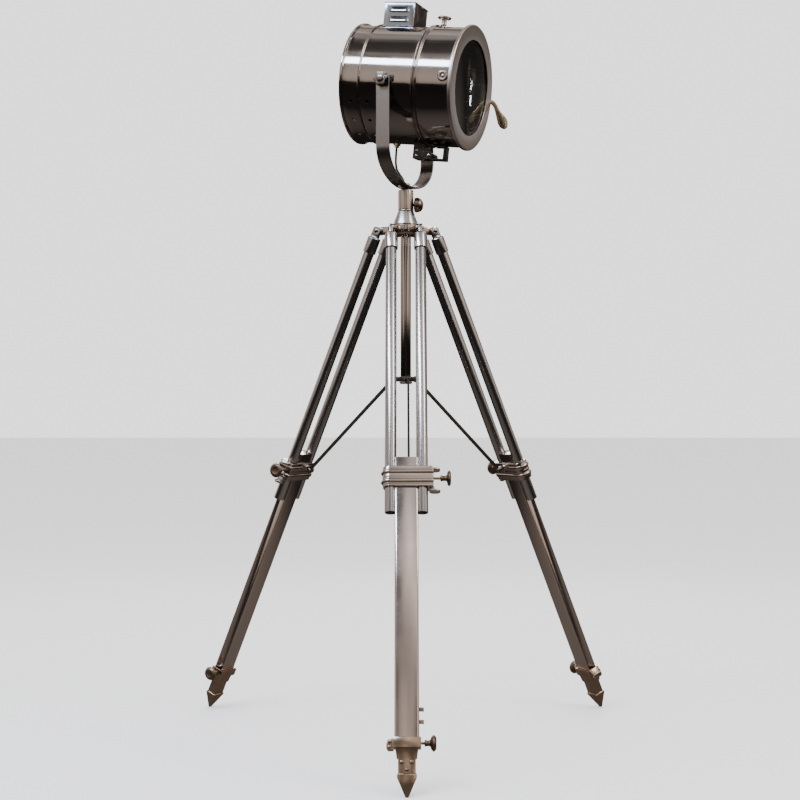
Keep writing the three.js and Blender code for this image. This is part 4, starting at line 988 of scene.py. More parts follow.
def add_light(name, target, azimuth, elevation, distance, size, power, colour):
    """An area light seen from the target at an azimuth from the camera side, in degrees."""
    turn, rise = math.radians(azimuth), math.radians(elevation)
    way = Vector((math.sin(turn) * math.cos(rise), -math.cos(turn) * math.cos(rise),
                  math.sin(rise)))
    data = bpy.data.lights.new(name, "AREA")
    data.shape = "RECTANGLE"
    data.size, data.size_y = size
    data.energy = power
    data.color = colour
    light = bpy.data.objects.new(name, data)
    light.location = target + way * distance
    light.rotation_euler = way.to_track_quat("Z", "Y").to_euler()
    bpy.context.scene.collection.objects.link(light)


# ------------------------------------------------------------------ flex
GLAND_X = -7.5
GLAND_DROP = -140.2           # foot of the gland below the barrel's axis
WIRE_X = -5
YOKE_FLOOR = -218.5           # inner face of the yoke's bottom, from the tilt pivot
FLEX_BOW = -9                 # how far the flex bows back at its middle


def flex_points(count=26):
    """Points from the gland down to the hole in the yoke, in metres."""
    top = HEAD @ Vector((GLAND_X, 0, GLAND_DROP))
    down = -HEAD_Z
    foot = YOKE @ Vector((WIRE_X, 0, YOKE_FLOOR + 0.3))
    bow = YOKE.to_3x3() @ Vector((FLEX_BOW, 0, 0))
    keys = [top, top + down * 0.012, top.lerp(foot, 0.5) + bow, foot + UP * 0.016, foot]
    return spline_through(keys, count)


def spline_through(keys, count):
    """Evenly spaced points on a centripetal spline through the keys."""
    ends = [keys[0] * 2 - keys[1], *keys, keys[-1] * 2 - keys[-2]]
    dense = []
    for a, b, c, d in zip(ends, ends[1:], ends[2:], ends[3:]):
        knots = [0.0]
        for first, second in ((a, b), (b, c), (c, d)):
            knots.append(knots[-1] + (second - first).length ** 0.5)
        t0, t1, t2, t3 = knots
        for step in range(24):
            t = t1 + (t2 - t1) * step / 24
            p1 = a * ((t1 - t) / (t1 - t0)) + b * ((t - t0) / (t1 - t0))
            p2 = b * ((t2 - t) / (t2 - t1)) + c * ((t - t1) / (t2 - t1))
            p3 = c * ((t3 - t) / (t3 - t2)) + d * ((t - t2) / (t3 - t2))
            q1 = p1 * ((t2 - t) / (t2 - t0)) + p2 * ((t - t0) / (t2 - t0))
            q2 = p2 * ((t3 - t) / (t3 - t1)) + p3 * ((t - t1) / (t3 - t1))
            dense.append(q1 * ((t2 - t) / (t2 - t1)) + q2 * ((t - t1) / (t2 - t1)))
    dense.append(keys[-1])
    run = [0.0]
    for first, second in zip(dense, dense[1:]):
        run.append(run[-1] + (second - first).length)
    result, place = [], 0
    for index in range(count):
        want = run[-1] * index / (count - 1)
        while place < len(run) - 2 and run[place + 1] < want:
            place += 1
        gap = run[place + 1] - run[place]
        part = (want - run[place]) / gap if gap else 0
        result.append(dense[place].lerp(dense[place + 1], min(1, max(0, part))))
    return result


def tube_along(points, radius, sides=16):
    """A closed round tube that follows the points."""
    shape = bmesh.new()
    rings = []
    side = None
    for index, point in enumerate(points):
        ahead = points[min(index + 1, len(points) - 1)] - points[max(index - 1, 0)]
        ahead.normalize()
        side = ahead.orthogonal() if side is None else side - ahead * side.dot(ahead)
        side.normalize()
        other = ahead.cross(side)
        rings.append([
            shape.verts.new(point + side * radius * math.cos(2 * math.pi * k / sides)
                            + other * radius * math.sin(2 * math.pi * k / sides))
            for k in range(sides)])
    skinned(shape, rings)
    bmesh.ops.recalc_face_normals(shape, faces=shape.faces)
    return shape


class LAMP_OT_flex(bpy.types.Operator):
    """Adds the flex from the head's gland into the yoke"""

    bl_idname = "lamp.flex"
    bl_label = "Flex"

    def execute(self, context):
        diameter = sizes().flex_diameter
        points = flex_points()
        shape = tube_along([p / MM for p in points], millimetres(diameter) / 2)
        piece = as_object(shape, "flex")
        settle(piece.data, Matrix.Scale(MM, 4), 50)
        piece.data.materials.append(finish_of("flex"))
        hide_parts("head_flex")
        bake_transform(piece)
        return {"FINISHED"}


# ------------------------------------------------------------------ legs
TUBE_SPACING = 65
TUBE_TOP = -22.5
TUBE_FOOT = -670
TANG = {"half": 3.8, "radius": 10, "foot": -17}
FERRULE = {"radius": 14.75, "top": -15, "foot": -53}


def leg_tube():
    outer = millimetres(sizes().tube_radius)
    return ring(outer - 1.5, outer, TUBE_FOOT, TUBE_TOP, rounding=0.3)


def leg_ferrule():
    radius, top, foot = FERRULE["radius"], FERRULE["top"], FERRULE["foot"]
    bore = millimetres(sizes().tube_radius) + 0.3
    cup = turned([(bore, foot), (radius, foot), (radius, top - 3), (radius - 2.4, top),
                  (0, top), (0, top - 7), (bore, top - 7)], rounding=0.8, closed=True)
    half, reach = TANG["half"], TANG["radius"]
    sideways = [(-reach, TANG["foot"]), *arc((0, 0), reach, math.pi, 0, 18),
                (reach, TANG["foot"])]
    tang = softened(prism(sideways, -half, half), 0.7)
    return joined(cup, stood_on_edge(tang))


class LAMP_OT_leg_tubes(bpy.types.Operator):
    """Adds each leg's pair of tubes with their ferrules and hinge bolts"""

    bl_idname = "lamp.leg_tubes"
    bl_label = "Leg tubes"

    def execute(self, context):
        half = TUBE_SPACING / 2
        outside = half + TANG["half"]
        for name in LEGS:
            body = f"{name}_upper_leg"
            tubes = joined(*(shifted(leg_tube(), x=side * half) for side in (-1, 1)))
            make_piece(f"{name}_tubes", tubes, LEG[name], body,
                       finish_of("steel"), (f"{name}_tube_a", f"{name}_tube_b"))
            cups = joined(*(shifted(leg_ferrule(), x=side * half) for side in (-1, 1)))
            make_piece(f"{name}_ferrules", cups, LEG[name], body,
                       finish_of("steel"), (f"{name}_ferrule_a", f"{name}_ferrule_b"))
            bolts = [((side * outside, 0, 0), (side, 0, 0)) for side in (-1, 1)]
            fastener_set(f"{name}_hinge_bolts", bolts, LEG[name], body,
                         finish_of("nickel"), 5.4, 3.4)
        return {"FINISHED"}


CLAMP = {"left": -48, "right": 55, "half": 17, "middle": -595, "height": 44, "ear": 20,
         "tongue": 5, "reach": 15}
EYE_Y, EYE_Z = 36, -580        # the clamp's eye, where the brace ends
BAR = {"width": 48, "depth": 25, "top": -552, "foot": -1144}


def clamp_outline(grow):
    left, right = CLAMP["left"] - grow, CLAMP["right"] + 0.4 * grow
    half = CLAMP["half"] + grow
    quarter = math.pi / 2
    corner = 14 + grow
    near = 3.0
    return (
        arc((right - near, -half + near), near, -quarter, 0, 5)
        + arc((right - near, half - near), near, 0, quarter, 5)
        + arc((left + corner, half - corner), corner, quarter, math.pi, 12)
        + arc((left + corner, -half + corner), corner, math.pi, 3 * quarter, 12)
    )


def clamp_body():
    """The clamp's band: two round ribs with a dip between and flat lips above and below."""
    middle, tall = CLAMP["middle"], CLAMP["height"] / 2
    levels = [(-tall, -0.6), (-tall + 0.8, 0.2), (-16.5, 0.2), (-15.4, 0.5)]
    for centre in (-10, 10):
        levels += [(centre + 4.6 * math.cos(a), 0.5 + 2.3 * math.sin(a))
                   for a in [math.pi - math.pi * k / 8 for k in range(9)]]
        if centre < 0:
            levels += [(-4.2, 0.2), (-1.2, 0.9), (1.2, 0.9), (4.2, 0.2)]
    levels += [(15.4, 0.5), (16.5, 0.2), (tall - 0.8, 0.2), (tall, -0.6)]
    shape = bmesh.new()
    loops = [[shape.verts.new((x, y, middle + height)) for x, y in clamp_outline(grow)]
             for height, grow in levels]
    return outward(skinned(shape, loops))


def clamp_tongue(low):
    half = CLAMP["ear"] / 2
    start, reach = CLAMP["right"] - 4, CLAMP["right"] + CLAMP["reach"]
    outline = [(start, -half), (reach - half, -half)]
    outline += arc((reach - half, 0), half, -math.pi / 2, math.pi / 2, 16)
    outline += [(start, half)]
    return softened(prism(outline, low, low + CLAMP["tongue"]), 1.4, steps=3)


def bar_outline():
    """A flat bar with a round groove down each edge, where the tubes run."""
    half_width, half_depth = BAR["width"] / 2, BAR["depth"] / 2
    centre = TUBE_SPACING / 2
    radius = millimetres(sizes().tube_radius) + 0.6
    lip = math.acos((centre - half_width) / radius)
    corner = [(half_width - 4.2, half_depth), (half_width - 2.4, half_depth - 0.35),
              (half_width - 1.0, half_depth - 1.2), (half_width - 0.2, half_depth - 2.4)]
    right = [(x, -y) for x, y in corner]
    right += arc((centre, 0), radius, math.pi + lip, math.pi - lip, 18)
    right += reversed(corner)
    return right + [(-x, -y) for x, y in right]


class LAMP_OT_clamps(bpy.types.Operator):
    """Adds the ribbed clamps that hold each sliding bar"""

    bl_idname = "lamp.clamps"
    bl_label = "Clamps"

    def execute(self, context):
        middle = CLAMP["middle"]
        top, foot = middle + CLAMP["height"] / 2, middle - CLAMP["height"] / 2
        hole = millimetres(sizes().tube_radius) + 0.25
        for name in LEGS:
            holes = [shifted(disc(hole, foot - 5, top + 5), x=side * TUBE_SPACING / 2)
                     for side in (-1, 1)]
            slot = block(-24.3, 24.3, -12.8, 12.8, foot - 5, top + 5)
            band = without(clamp_body(), *holes, slot)
            eye = softened(prism(
                [(14, -7.5), *arc((EYE_Y, 0), 7.5, -math.pi / 2, math.pi / 2, 14), (14, 7.5)],
                -2.5, 2.5), 0.6)
            stood_on_edge(eye, z=EYE_Z)
            stud = shifted(along_y(turned([(0, 14), (7.5, 14), (7.5, 24), (5.5, 27), (0, 27)])),
                           z=EYE_Z)
            web = softened(block(47, 58, -8, 8, foot - 8, foot + 3), 0.8)
            shape = joined(band, clamp_tongue(top - 6), clamp_tongue(foot - 9), web, eye, stud)
            body = f"{name}_upper_leg"
            make_piece(f"{name}_clamp_body", shape, LEG[name], body,
                       finish_of("clamp"), (f"{name}_clamp",))
            left = CLAMP["left"] - 2.4
            studs = [((left, 0, middle + offset), (-1, 0, 0)) for offset in (-10, 10)]
            fastener_set(f"{name}_clamp_studs", studs, LEG[name], body,
                         finish_of("clamp"), 3.4, 2.2)
        return {"FINISHED"}


class LAMP_OT_bars(bpy.types.Operator):
    """Adds the grooved sliding bars of the lower legs"""

    bl_idname = "lamp.bars"
    bl_label = "Sliding bars"

    def execute(self, context):
        for name in LEGS:
            bar = softened(prism(bar_outline(), BAR["foot"], BAR["top"]), 0.5, angle=50)
            make_piece(f"{name}_bar", bar, LEG[name], f"{name}_lower_leg",
                       finish_of("bar"), (f"{name}_lower_bar",))
        clips = [self.clip(z) for z in (-1068, -1092)]
        make_piece("bar_clips", joined(*clips), LEG["front"], "front_lower_leg",
                   finish_of("knob"))
        return {"FINISHED"}

    def clip(self, height):
        """A small bent hook held on the back of the bar."""
        outline = filleted([(14, 12.6), (33, 12.6), (33.4, 18), (31.2, 18), (30.6, 14.8),
                            (14, 14.8)], 0.7, True, 2)
        return softened(prism(outline, height - 4, height + 4), 0.5)


class LAMP_OT_feet(bpy.types.Operator):
    """Adds the shoes and spikes with their screws and rivets"""

    bl_idname = "lamp.feet"
    bl_label = "Feet"

    def execute(self, context):
        plate = -11.0
        for name in LEGS:
            body = f"{name}_lower_leg"
            matrix = LEG[name]
            make_piece(f"{name}_shoe", cad_shape(f"{name}_foot_shoe", matrix, 1.0), matrix,
                       body, finish_of("bronze"), (f"{name}_foot_shoe",))
            make_piece(f"{name}_foot_spike", cad_shape(f"{name}_spike", matrix, 0.7), matrix,
                       body, finish_of("bronze"), (f"{name}_spike",))
            screws = [((x, plate, z), (0, -1, 0))
                      for x, z in ((-9.5, -1172.5), (9.5, -1172.5), (0, -1186.5))]
            fastener_set(f"{name}_plate_screws", screws, matrix, body,
                         finish_of("knob"), millimetres(sizes().screw_radius), 2.4, 1.0)
            lugs = [((-33.5, plate, z), (0, -1, 0)) for z in (-1134, -1144)]
            lugs += [((-33.5, -plate, z), (0, 1, 0)) for z in (-1134, -1144)]
            fastener_set(f"{name}_lug_rivets", lugs, matrix, body,
                         finish_of("bronze"), millimetres(sizes().rivet_radius), 2.6)
        return {"FINISHED"}


def thumb_screw(thread, reach, stem, wheel, thickness):
    """A screw with a threaded shank, a waisted stem and a round-edged wheel."""
    profile = [(0, -thread)]
    height = -thread
    while height < reach - 1:
        profile += [(2.6, height), (3.0, height + 0.45)]
        height += 0.9
    edge = thickness * 0.42
    low, top = reach + stem, reach + stem + thickness
    profile += [(3.0, reach), (6.4, reach + 0.5), (6.7, reach + 2.5), (5.6, reach + 4),
                (5.4, low - 3), (7.2, low - 0.6), (wheel * 0.62, low), (wheel - edge, low + 0.5),
                (wheel, low + edge), (wheel, top - edge), (wheel - edge, top - 0.4),
                (wheel * 0.5, top - 0.1), (wheel * 0.36, top - 0.9), (0, top - 0.9)]
    return turned(profile, rounding=1.1)


class LAMP_OT_thumb_screws(bpy.types.Operator):
    """Adds the thumb screws of the clamps, the shoes and the front housing"""

    bl_idname = "lamp.thumb_screws"
    bl_label = "Thumb screws"

    def execute(self, context):
        wheel = millimetres(sizes().wheel_radius)
        for name in LEGS:
            clamp = shifted(along_x(thumb_screw(9, 15, 14, wheel, 8)), x=CLAMP["right"],
                            z=CLAMP["middle"])
            make_piece(f"{name}_clamp_thumbscrew", clamp, LEG[name], f"{name}_clamp_knob",
                       finish_of("knob"), (f"{name}_clamp_screw",))
            foot = shifted(along_x(thumb_screw(2.8, 6.5, 12, wheel - 0.5, 11)), x=27.3, z=-1135.5)
            make_piece(f"{name}_foot_thumbscrew", foot, LEG[name], f"{name}_foot_knob",
                       finish_of("knob"), (f"{name}_foot_screw",))
        top = shifted(thumb_screw(5, 5, 14, wheel - 0.5, 6.5), x=75, z=131.5)
        make_piece("top_thumbscrew_piece", top, HEAD, "top_thumbscrew",
                   finish_of("clamp"), ("top_screw",))
        knob = turned([(0, 13.3), (3, 13.3), (3, 17.9), (9, 18.1), (14.6, 19.4), (16.7, 21.8),
                       (17, 25), (16.4, 30), (13.6, 35), (8.5, 38.6), (0, 40)], rounding=1.5)
        make_piece("stem_knob_piece", shifted(along_x(knob), z=SOCKET["low"] + 14), LAMP,
                   "stem_knob", finish_of("knob"), ("stem_lock_knob",))
        return {"FINISHED"}


# ------------------------------------------------------------------ hub, column and spreader
HUB = {"foot": 1121.2, "top": 1144.2, "hinge": 1132.2}
SOCKET = {"low": 1176.5, "high": 1223.2}
COLLAR_Z = 797.0
LEG_TURNS = (0, 120, 240)


class LAMP_OT_hub(bpy.types.Operator):
    """Adds the hub bowl with its ears, the cone, the stem socket and the column"""

    bl_idname = "lamp.hub"
    bl_label = "Hub and column"

    def execute(self, context):
        foot, top = HUB["foot"], HUB["top"]
        bowl = turned([(8, foot), (20, foot), (26, foot + 2.6), (29.2, foot + 8),
                       (29.5, foot + 13), (29.5, top - 0.4), (28.6, top), (8, top)],
                      rounding=2.5, closed=True, sides=96)
        ears = []
        outer = TUBE_SPACING / 2 - TANG["half"] - 0.3
        for turn in LEG_TURNS:
            for side in (-1, 1):
                outline = [(-16, -10), *arc((-56, 0), 10, -math.pi / 2, -1.5 * math.pi, 18),
                           (-16, 10)]
                ear = softened(prism(outline, -2.5, 2.5), 0.8)
                stood_on_edge(ear, side * (outer - 2.5), HUB["hinge"])
                pin = shifted(along_x(disc(4.6, -0.9, 0.9, rounding=0.6)),
                              side * (outer - 5.2), -56, HUB["hinge"])
                ears += [spun(ear, "Z", turn), spun(pin, "Z", turn)]
        make_piece("hub", joined(bowl, *ears), LAMP, "base",
                   finish_of("clamp"), ("hub_spider",))
        cone = turned([(8, 1144.5), (28, 1144.5), (28.2, 1147), (17.9, 1175), (17.2, 1176.2),
                       (8, 1176.2)], rounding=1.2, closed=True, sides=96)
        make_piece("cone", cone, LAMP, "base", finish_of("cone"),
                   ("hub_cone",))
        low, high = SOCKET["low"], SOCKET["high"]
        socket = turned([(13.3, low), (17.3, low), (17.3, low + 1.5), (16.9, low + 2.2),
                         (16.9, low + 2.8), (17.3, low + 3.5), (17.3, high), (13.3, high)],
                        rounding=0.5, closed=True, sides=96)
        bore = shifted(along_x(disc(3.4, 10, 20)), z=low + 14)
        make_piece("socket", without(socket, bore), LAMP, "base",
                   finish_of("clamp"), ("stem_socket",))
        column = ring(9.75, 11.75, 791.5, 1140.9, rounding=0.4)
        make_piece("column", column, LAMP, "base", finish_of("nickel"),
                   ("centre_column",))
        stop_top = COLLAR_Z - 5.8
        stop = turned([(0, stop_top - 5.5), (11.5, stop_top - 5.5), (14.5, stop_top - 3.5),
                       (14.5, stop_top), (9.4, stop_top), (9.4, stop_top + 10),
                       (0, stop_top + 10)], rounding=0.8)
        make_piece("column_end", stop, LAMP, "base", finish_of("nickel"),
                   ("column_stop",))
        return {"FINISHED"}


class LAMP_OT_spreader(bpy.types.Operator):
    """Adds the sliding collar, the three braces and their rivets"""

    bl_idname = "lamp.spreader"
    bl_label = "Spreader"

    def execute(self, context):
        sleeve = turned([(12.05, COLLAR_Z - 5.5), (15.0, COLLAR_Z - 5.5),
                         (15.45, COLLAR_Z), (15.0, COLLAR_Z + 5.5), (12.05, COLLAR_Z + 5.5)],
                        rounding=0.7, closed=True)
        parts = [sleeve]
        for turn in LEG_TURNS:
            outline = [(-14.6, -5.5), *arc((-30, 0), 5.5, -math.pi / 2, -1.5 * math.pi, 14),
                       (-14.6, 5.5)]
            lug = softened(prism(outline, -2.5, 2.5), 0.6)
            stood_on_edge(lug, z=COLLAR_Z)
            pin = shifted(along_x(disc(3, 0, 8.4)), 0, -30, COLLAR_Z)
            head = shifted(along_x(disc(4.4, 8.0, 9.6, rounding=0.7)), 0, -30, COLLAR_Z)
            parts += [spun(lug, "Z", turn), spun(joined(pin, head), "Z", turn)]
        make_piece("collar_piece", joined(*parts), LAMP, "collar",
                   finish_of("black"), ("brace_collar",))
        for name in LEGS:
            self.brace(name)
        return {"FINISHED"}

    def brace(self, name):
        swing = JOINTS[f"{name}_brace_swing"]
        top = Vector(swing["pos_m"])
        axis = Vector(swing["axis"])
        foot = LEG[name] @ Vector((0, EYE_Y, EYE_Z))
        rise = top - foot
        place = local_frame(top, axis, rise)
        length = millimetres(rise.length)
        half, eye = 6.5, 7.5
        lean = math.asin(half / eye)
        outline = arc((0, 0), eye, -lean, math.pi + lean, 20)
        outline += [(-x, -y - length) for x, y in outline]
        plate = softened(prism(outline, 2.8, 7.8), 0.6)
        stood_on_edge(plate)
        hole = along_x(disc(3.3, 0, 12))
        make_piece(f"{name}_brace_bar", without(plate, hole), place, f"{name}_brace_arm",
                   finish_of("black"), (f"{name}_brace",))
        rivet = [((7.8, 0, -length), (1, 0, 0))]
        fastener_set(f"{name}_brace_rivet", rivet, place, f"{name}_brace_arm",
                     finish_of("clamp"),
                     millimetres(sizes().rivet_radius), 2.4)


# ------------------------------------------------------------------ yoke
YOKE_HALF = 134.75
YOKE_STRAP = 4.5
YOKE_WIDTH = 31
YOKE_BOW = 75
PIVOT_HEIGHT = 223


def yoke_strap():
    """Flat strap bent into a U, with round tops at the tilt pivot."""
    steps = 64
    springing = -PIVOT_HEIGHT + YOKE_STRAP + YOKE_BOW
    drop = YOKE_BOW - YOKE_STRAP / 2
    half_width = YOKE_WIDTH / 2
    shape = bmesh.new()
    rows = []

    def row(y, z, ny, nz, half):
        near = 0.7
        thick = YOKE_STRAP / 2
        section = [(-half, -thick + near), (-half + near, -thick), (half - near, -thick),
                   (half, -thick + near), (half, thick - near), (half - near, thick),
                   (-half + near, thick), (-half, thick - near)]
        rows.append([shape.verts.new((x, y + ny * t, z + nz * t)) for x, t in section])

    heights = [half_width * math.sin(math.pi / 2 * k / 12) for k in range(12, -1, -1)]
    for z in heights:
        row(-YOKE_HALF, z, -1, 0, math.sqrt(max(0.6, half_width ** 2 - z * z)))
    for k in range(steps + 1):
        angle = math.pi * k / steps
        ny, nz = -math.cos(angle) * drop, -math.sin(angle) * YOKE_HALF
        size = math.hypot(ny, nz)
        row(-YOKE_HALF * math.cos(angle), springing - drop * math.sin(angle),
            ny / size, nz / size, half_width)
    for z in reversed(heights):
        row(YOKE_HALF, z, 1, 0, math.sqrt(max(0.6, half_width ** 2 - z * z)))
    return outward(skinned(shape, rows))


def lobed_nut():
    """A six-lobed hand nut standing on z = 0."""
    count = 72
    outline = []
    for index in range(count):
        angle = 2 * math.pi * index / count
        radius = 15.2 + 1.3 * math.cos(6 * angle)
        outline.append((radius * math.cos(angle), radius * math.sin(angle)))
    body = softened(prism(outline, 2.5, 13.5), 1.8, angle=50, steps=3)
    neck = disc(8, 0, 3.5)
    cap = turned([(0, 12), (9.5, 12), (8.5, 14.5), (5, 15.6), (0, 16)], rounding=1.5)
    shank = disc(4, -12.5, 1)
    return joined(body, neck, cap, shank)


class LAMP_OT_yoke(bpy.types.Operator):
    """Adds the yoke with its spigot, the cable eye and the tilt nuts"""

    bl_idname = "lamp.yoke"
    bl_label = "Yoke"

    def execute(self, context):
        base = -PIVOT_HEIGHT
        bore = along_y(disc(4.3, -200, 200))
        wire = shifted(disc(3.4, base - 5, base + 12), x=WIRE_X)
        strap = without(yoke_strap(), bore, wire)
        spigot = ring(9, 13, base - 42, base + 1, rounding=0.5)
        washer = ring(9, 15.6, base - 0.05, base + 0.3, rounding=0.1)
        make_piece("yoke_strap", joined(strap, spigot, washer), YOKE, "swivel",
                   finish_of("satin"), ("yoke",))
        loop = [Vector((4 * math.cos(a), 0, 4 * math.sin(a)))
                for a in [2 * math.pi * k / 40 for k in range(41)]]
        eye = tube_along(loop, 1.2, 12)
        foot = base + YOKE_STRAP + 0.3
        shifted(eye, z=foot + 6.2)
        stem = disc(2.2, foot, foot + 2.4)
        make_piece("cable_loop", shifted(joined(eye, stem), x=6), YOKE, "swivel",
                   finish_of("knob"), ("cable_eye",))
        seat = YOKE_HALF + YOKE_STRAP / 2 + 0.3
        for side, word in ((-1, "near"), (1, "far")):
            nut = spun(lobed_nut(), "X", -90 * side)
            make_piece(f"{word}_nut", shifted(nut, y=side * seat), YOKE, f"{word}_knob",
                       finish_of("nut"), (f"tilt_knob_{word}",))
        return {"FINISHED"}


# ------------------------------------------------------------------ head
BARREL = {"radius": 130.5, "rear": -106.5, "front": 68.9}
REAR_BEAD = -60.5             # the rear bead and the middle of the cooling holes
BEAD_HALF = 3.2
SLEEVE = {"radius": 131.5, "rear": 69.5, "front": 154.7}
RIM = {"radius": 137.4, "front": 157.5, "opening": 104}
LEVER_X = 137                 # of the lever's hub and of the boss across from it


def rolled_bead(radius, middle, half=BEAD_HALF, proud=3.8, steps=16):
    """A round swage rolled into sheet, as radius and height pairs."""
    return [(radius + proud * (0.5 - 0.5 * math.cos(2 * math.pi * k / steps)),
             middle - half + 2 * half * k / steps) for k in range(steps + 1)]


def stepped(start, end, step):
    """Heights from start to end, both left out, at about the step."""
    count = max(1, round(abs(end - start) / step))
    return [start + (end - start) * k / count for k in range(1, count)]


def barrel_profile():
    radius, rear, front = BARREL["radius"], BARREL["rear"], BARREL["front"]
    lip = radius + 5
    outer = [(radius - 2, rear + 0.2), (radius + 1, rear), (lip - 1.2, rear + 0.1),
             (lip, rear + 1.4), (lip, rear + 3.6), (lip - 1.4, rear + 5.2), (radius, rear + 6.8)]
    outer += [(radius, z) for z in stepped(rear + 6.8, REAR_BEAD - BEAD_HALF, 12)]
    outer += rolled_bead(radius, REAR_BEAD)
    outer += [(radius, z) for z in stepped(REAR_BEAD + BEAD_HALF, front - 6.8, 12)]
    outer += rolled_bead(radius, front - 3.4)
    outer += [(radius, front), (radius - 2, front)]
    inner = [(radius - 2, z) for z in stepped(front, rear, 16)]
    return outer + inner


def mark_inside(drum, radius):
    """Gives the second finish, near black as painted shade, to the faces within a drum and to its
    holes' walls.
    """
    drum.normal_update()
    for face in drum.faces:
        middle = face.calc_center_median()
        within = math.hypot(middle.y, middle.z) < radius - 0.3
        face.material_index = 1 if within and abs(face.normal.x) < 0.9 else 0


class LAMP_OT_barrel(bpy.types.Operator):
    """Adds the barrel with its beads, cooling holes and pivots, and the rear cover"""

    bl_idname = "lamp.barrel"
    bl_label = "Barrel"

    def execute(self, context):
        radius = BARREL["radius"]
        drum = along_x(turned(barrel_profile(), sizes().drum_steps, 0.25, True))
        mesh = bpy.data.meshes.new("drum")
        drum.to_mesh(mesh)
        drum.free()
        values = {"Drum Radius": radius, "Hole Radius": millimetres(sizes().vent_radius),
                  "Middle": REAR_BEAD, "Column Gap": 40.0, "Lowest": math.radians(-67),
                  "Angle Span": math.radians(40), "Rows": 3}
        drum = to_bmesh(grown(mesh, tree_named("Cooling holes", vents_tree), values, None))
        # the drum's inside and its holes' walls get the painted shade
        mark_inside(drum, radius)
        bosses = [spun(disc(15, radius - 4, radius + 1.7, rounding=0.6), "X", 90 * side)
                  for side in (-1, 1)]
        shape = joined(drum, *(shifted(boss, z=-BARREL_RISE) for boss in bosses))
        make_piece("drum", shape, HEAD, "head",
                   [finish_of("nickel"), finish_of("inside")], ("barrel",), smooth=62)
        reach = radius - 2.3
        back = BARREL["rear"] + 2
        cover = turned([(0, back), (reach - 14, back), (reach - 8, back + 3), (reach, back + 3),
                        (reach, back + 5), (reach - 9, back + 5), (reach - 14.5, back + 2),
                        (0, back + 2)], 128, 2.0)
        make_piece("back_plate", along_x(cover), HEAD, "head",
                   finish_of("nickel"), ("rear_cover",))
        return {"FINISHED"}


class LAMP_OT_front(bpy.types.Operator):
    """Adds the front sleeve, the rim, the lens with its ring and the latch"""

    bl_idname = "lamp.front"
    bl_label = "Front housing"

    def execute(self, context):
        radius, rear, front = SLEEVE["radius"], SLEEVE["rear"], SLEEVE["front"]
        outer = [(radius - 2, rear), (radius, rear)] + rolled_bead(radius, rear + 3.6)
        outer += [(radius, z) for z in stepped(rear + 6.8, front, 12)]
        outer += [(radius, front), (radius - 2, front)]
        outer += [(radius - 2, z) for z in stepped(front, rear, 16)]
        drum = along_x(turned(outer, sizes().drum_steps, 0.25, True))
        mark_inside(drum, radius)
        boss = turned([(6, radius - 1), (12.4, radius - 1), (12, radius + 1.4),
                       (10.2, radius + 2.9), (6.4, radius + 3), (6, radius + 2)],
                      rounding=0.8, closed=True)
        boss = shifted(spun(boss, "X", 90), x=LEVER_X)
        make_piece("front_drum", joined(drum, boss), HEAD, "door",
                   [finish_of("nickel"), finish_of("inside")], ("front_sleeve",), smooth=62)
        outside, face_x, opening = RIM["radius"], RIM["front"], RIM["opening"]
        skirt = radius + 0.7
        rim = turned([(opening, face_x - 1.4), (opening + 1, face_x - 2.5),
                      (skirt, face_x - 2.5), (skirt, face_x - 7.7), (outside - 1.8, face_x - 7.7),
                      (outside, face_x - 6), (outside, face_x - 1.6), (outside - 1.6, face_x),
                      (opening + 0.6, face_x), (opening, face_x - 0.6)],
                     sizes().drum_steps, 0.5, True)
        make_piece("rim", along_x(rim), HEAD, "door", finish_of("rim"),
                   ("front_rim",))
        lens_face = face_x - 2.8
        pane = along_x(disc(128.8, lens_face - 3, lens_face, sides=128, rounding=0.4))
        make_piece("lens_pane", pane, HEAD, "door", finish_of("lens"),
                   ("lens",))
        ring_face = lens_face - 3.3
        keeper = along_x(ring(119.8, 128.8, ring_face - 3, ring_face, sides=128))
        make_piece("lens_ring", keeper, HEAD, "door", finish_of("black"),
                   ("lens_retainer",))
        self.lever(radius + 8.5)
        studs = [((LEVER_X, -(radius - 1.2), 0), (0, -1, 0))]
        fastener_set("boss_screw", studs, HEAD, "door", finish_of("clamp"),
                     5.2, 2.6, 1.2)
        return {"FINISHED"}

    def lever(self, hub_y):
        """A hub, a bent arm that tapers and a spoon-shaped grip."""
        spine = [(0, 0, 5.6), (12, -1, 5.2), (23, -5, 5.0), (31, -13, 5.2), (37, -24, 6.0),
                 (43, -34, 8.4), (49, -43, 11.0), (54, -51, 11.6), (58, -58, 9.0),
                 (61, -63, 3.5)]
        shape = bmesh.new()
        rows = []
        sides = 16
        for index, (x, z, width) in enumerate(spine):
            before = spine[max(index - 1, 0)]
            after = spine[min(index + 1, len(spine) - 1)]
            way = Vector((after[0] - before[0], 0, after[1] - before[1])).normalized()
            across = Vector((-way.z, 0, way.x))
            thick = 2.1 if index < 5 else 1.9
            rows.append([shape.verts.new(
                Vector((x, 0, z)) + across * width * math.cos(2 * math.pi * k / sides)
                + Vector((0, 1, 0)) * thick * math.sin(2 * math.pi * k / sides))
                for k in range(sides)])
        outward(skinned(shape, rows))
        bmesh.ops.subdivide_edges(shape, edges=shape.edges, cuts=1, smooth=0.6,
                                  use_grid_fill=True)
        hub = along_y(disc(8, -2, 2, rounding=1.2))
        axle = along_y(disc(3, -9.5, 2))
        whole = shifted(joined(shape, hub, axle), x=LEVER_X, y=hub_y)
        make_piece("lever", whole, HEAD, "latch", finish_of("brass"),
                   ("latch_lever",))


CHIMNEY = {"x0": -56.3, "x1": 17, "half": 39, "rise": 49}


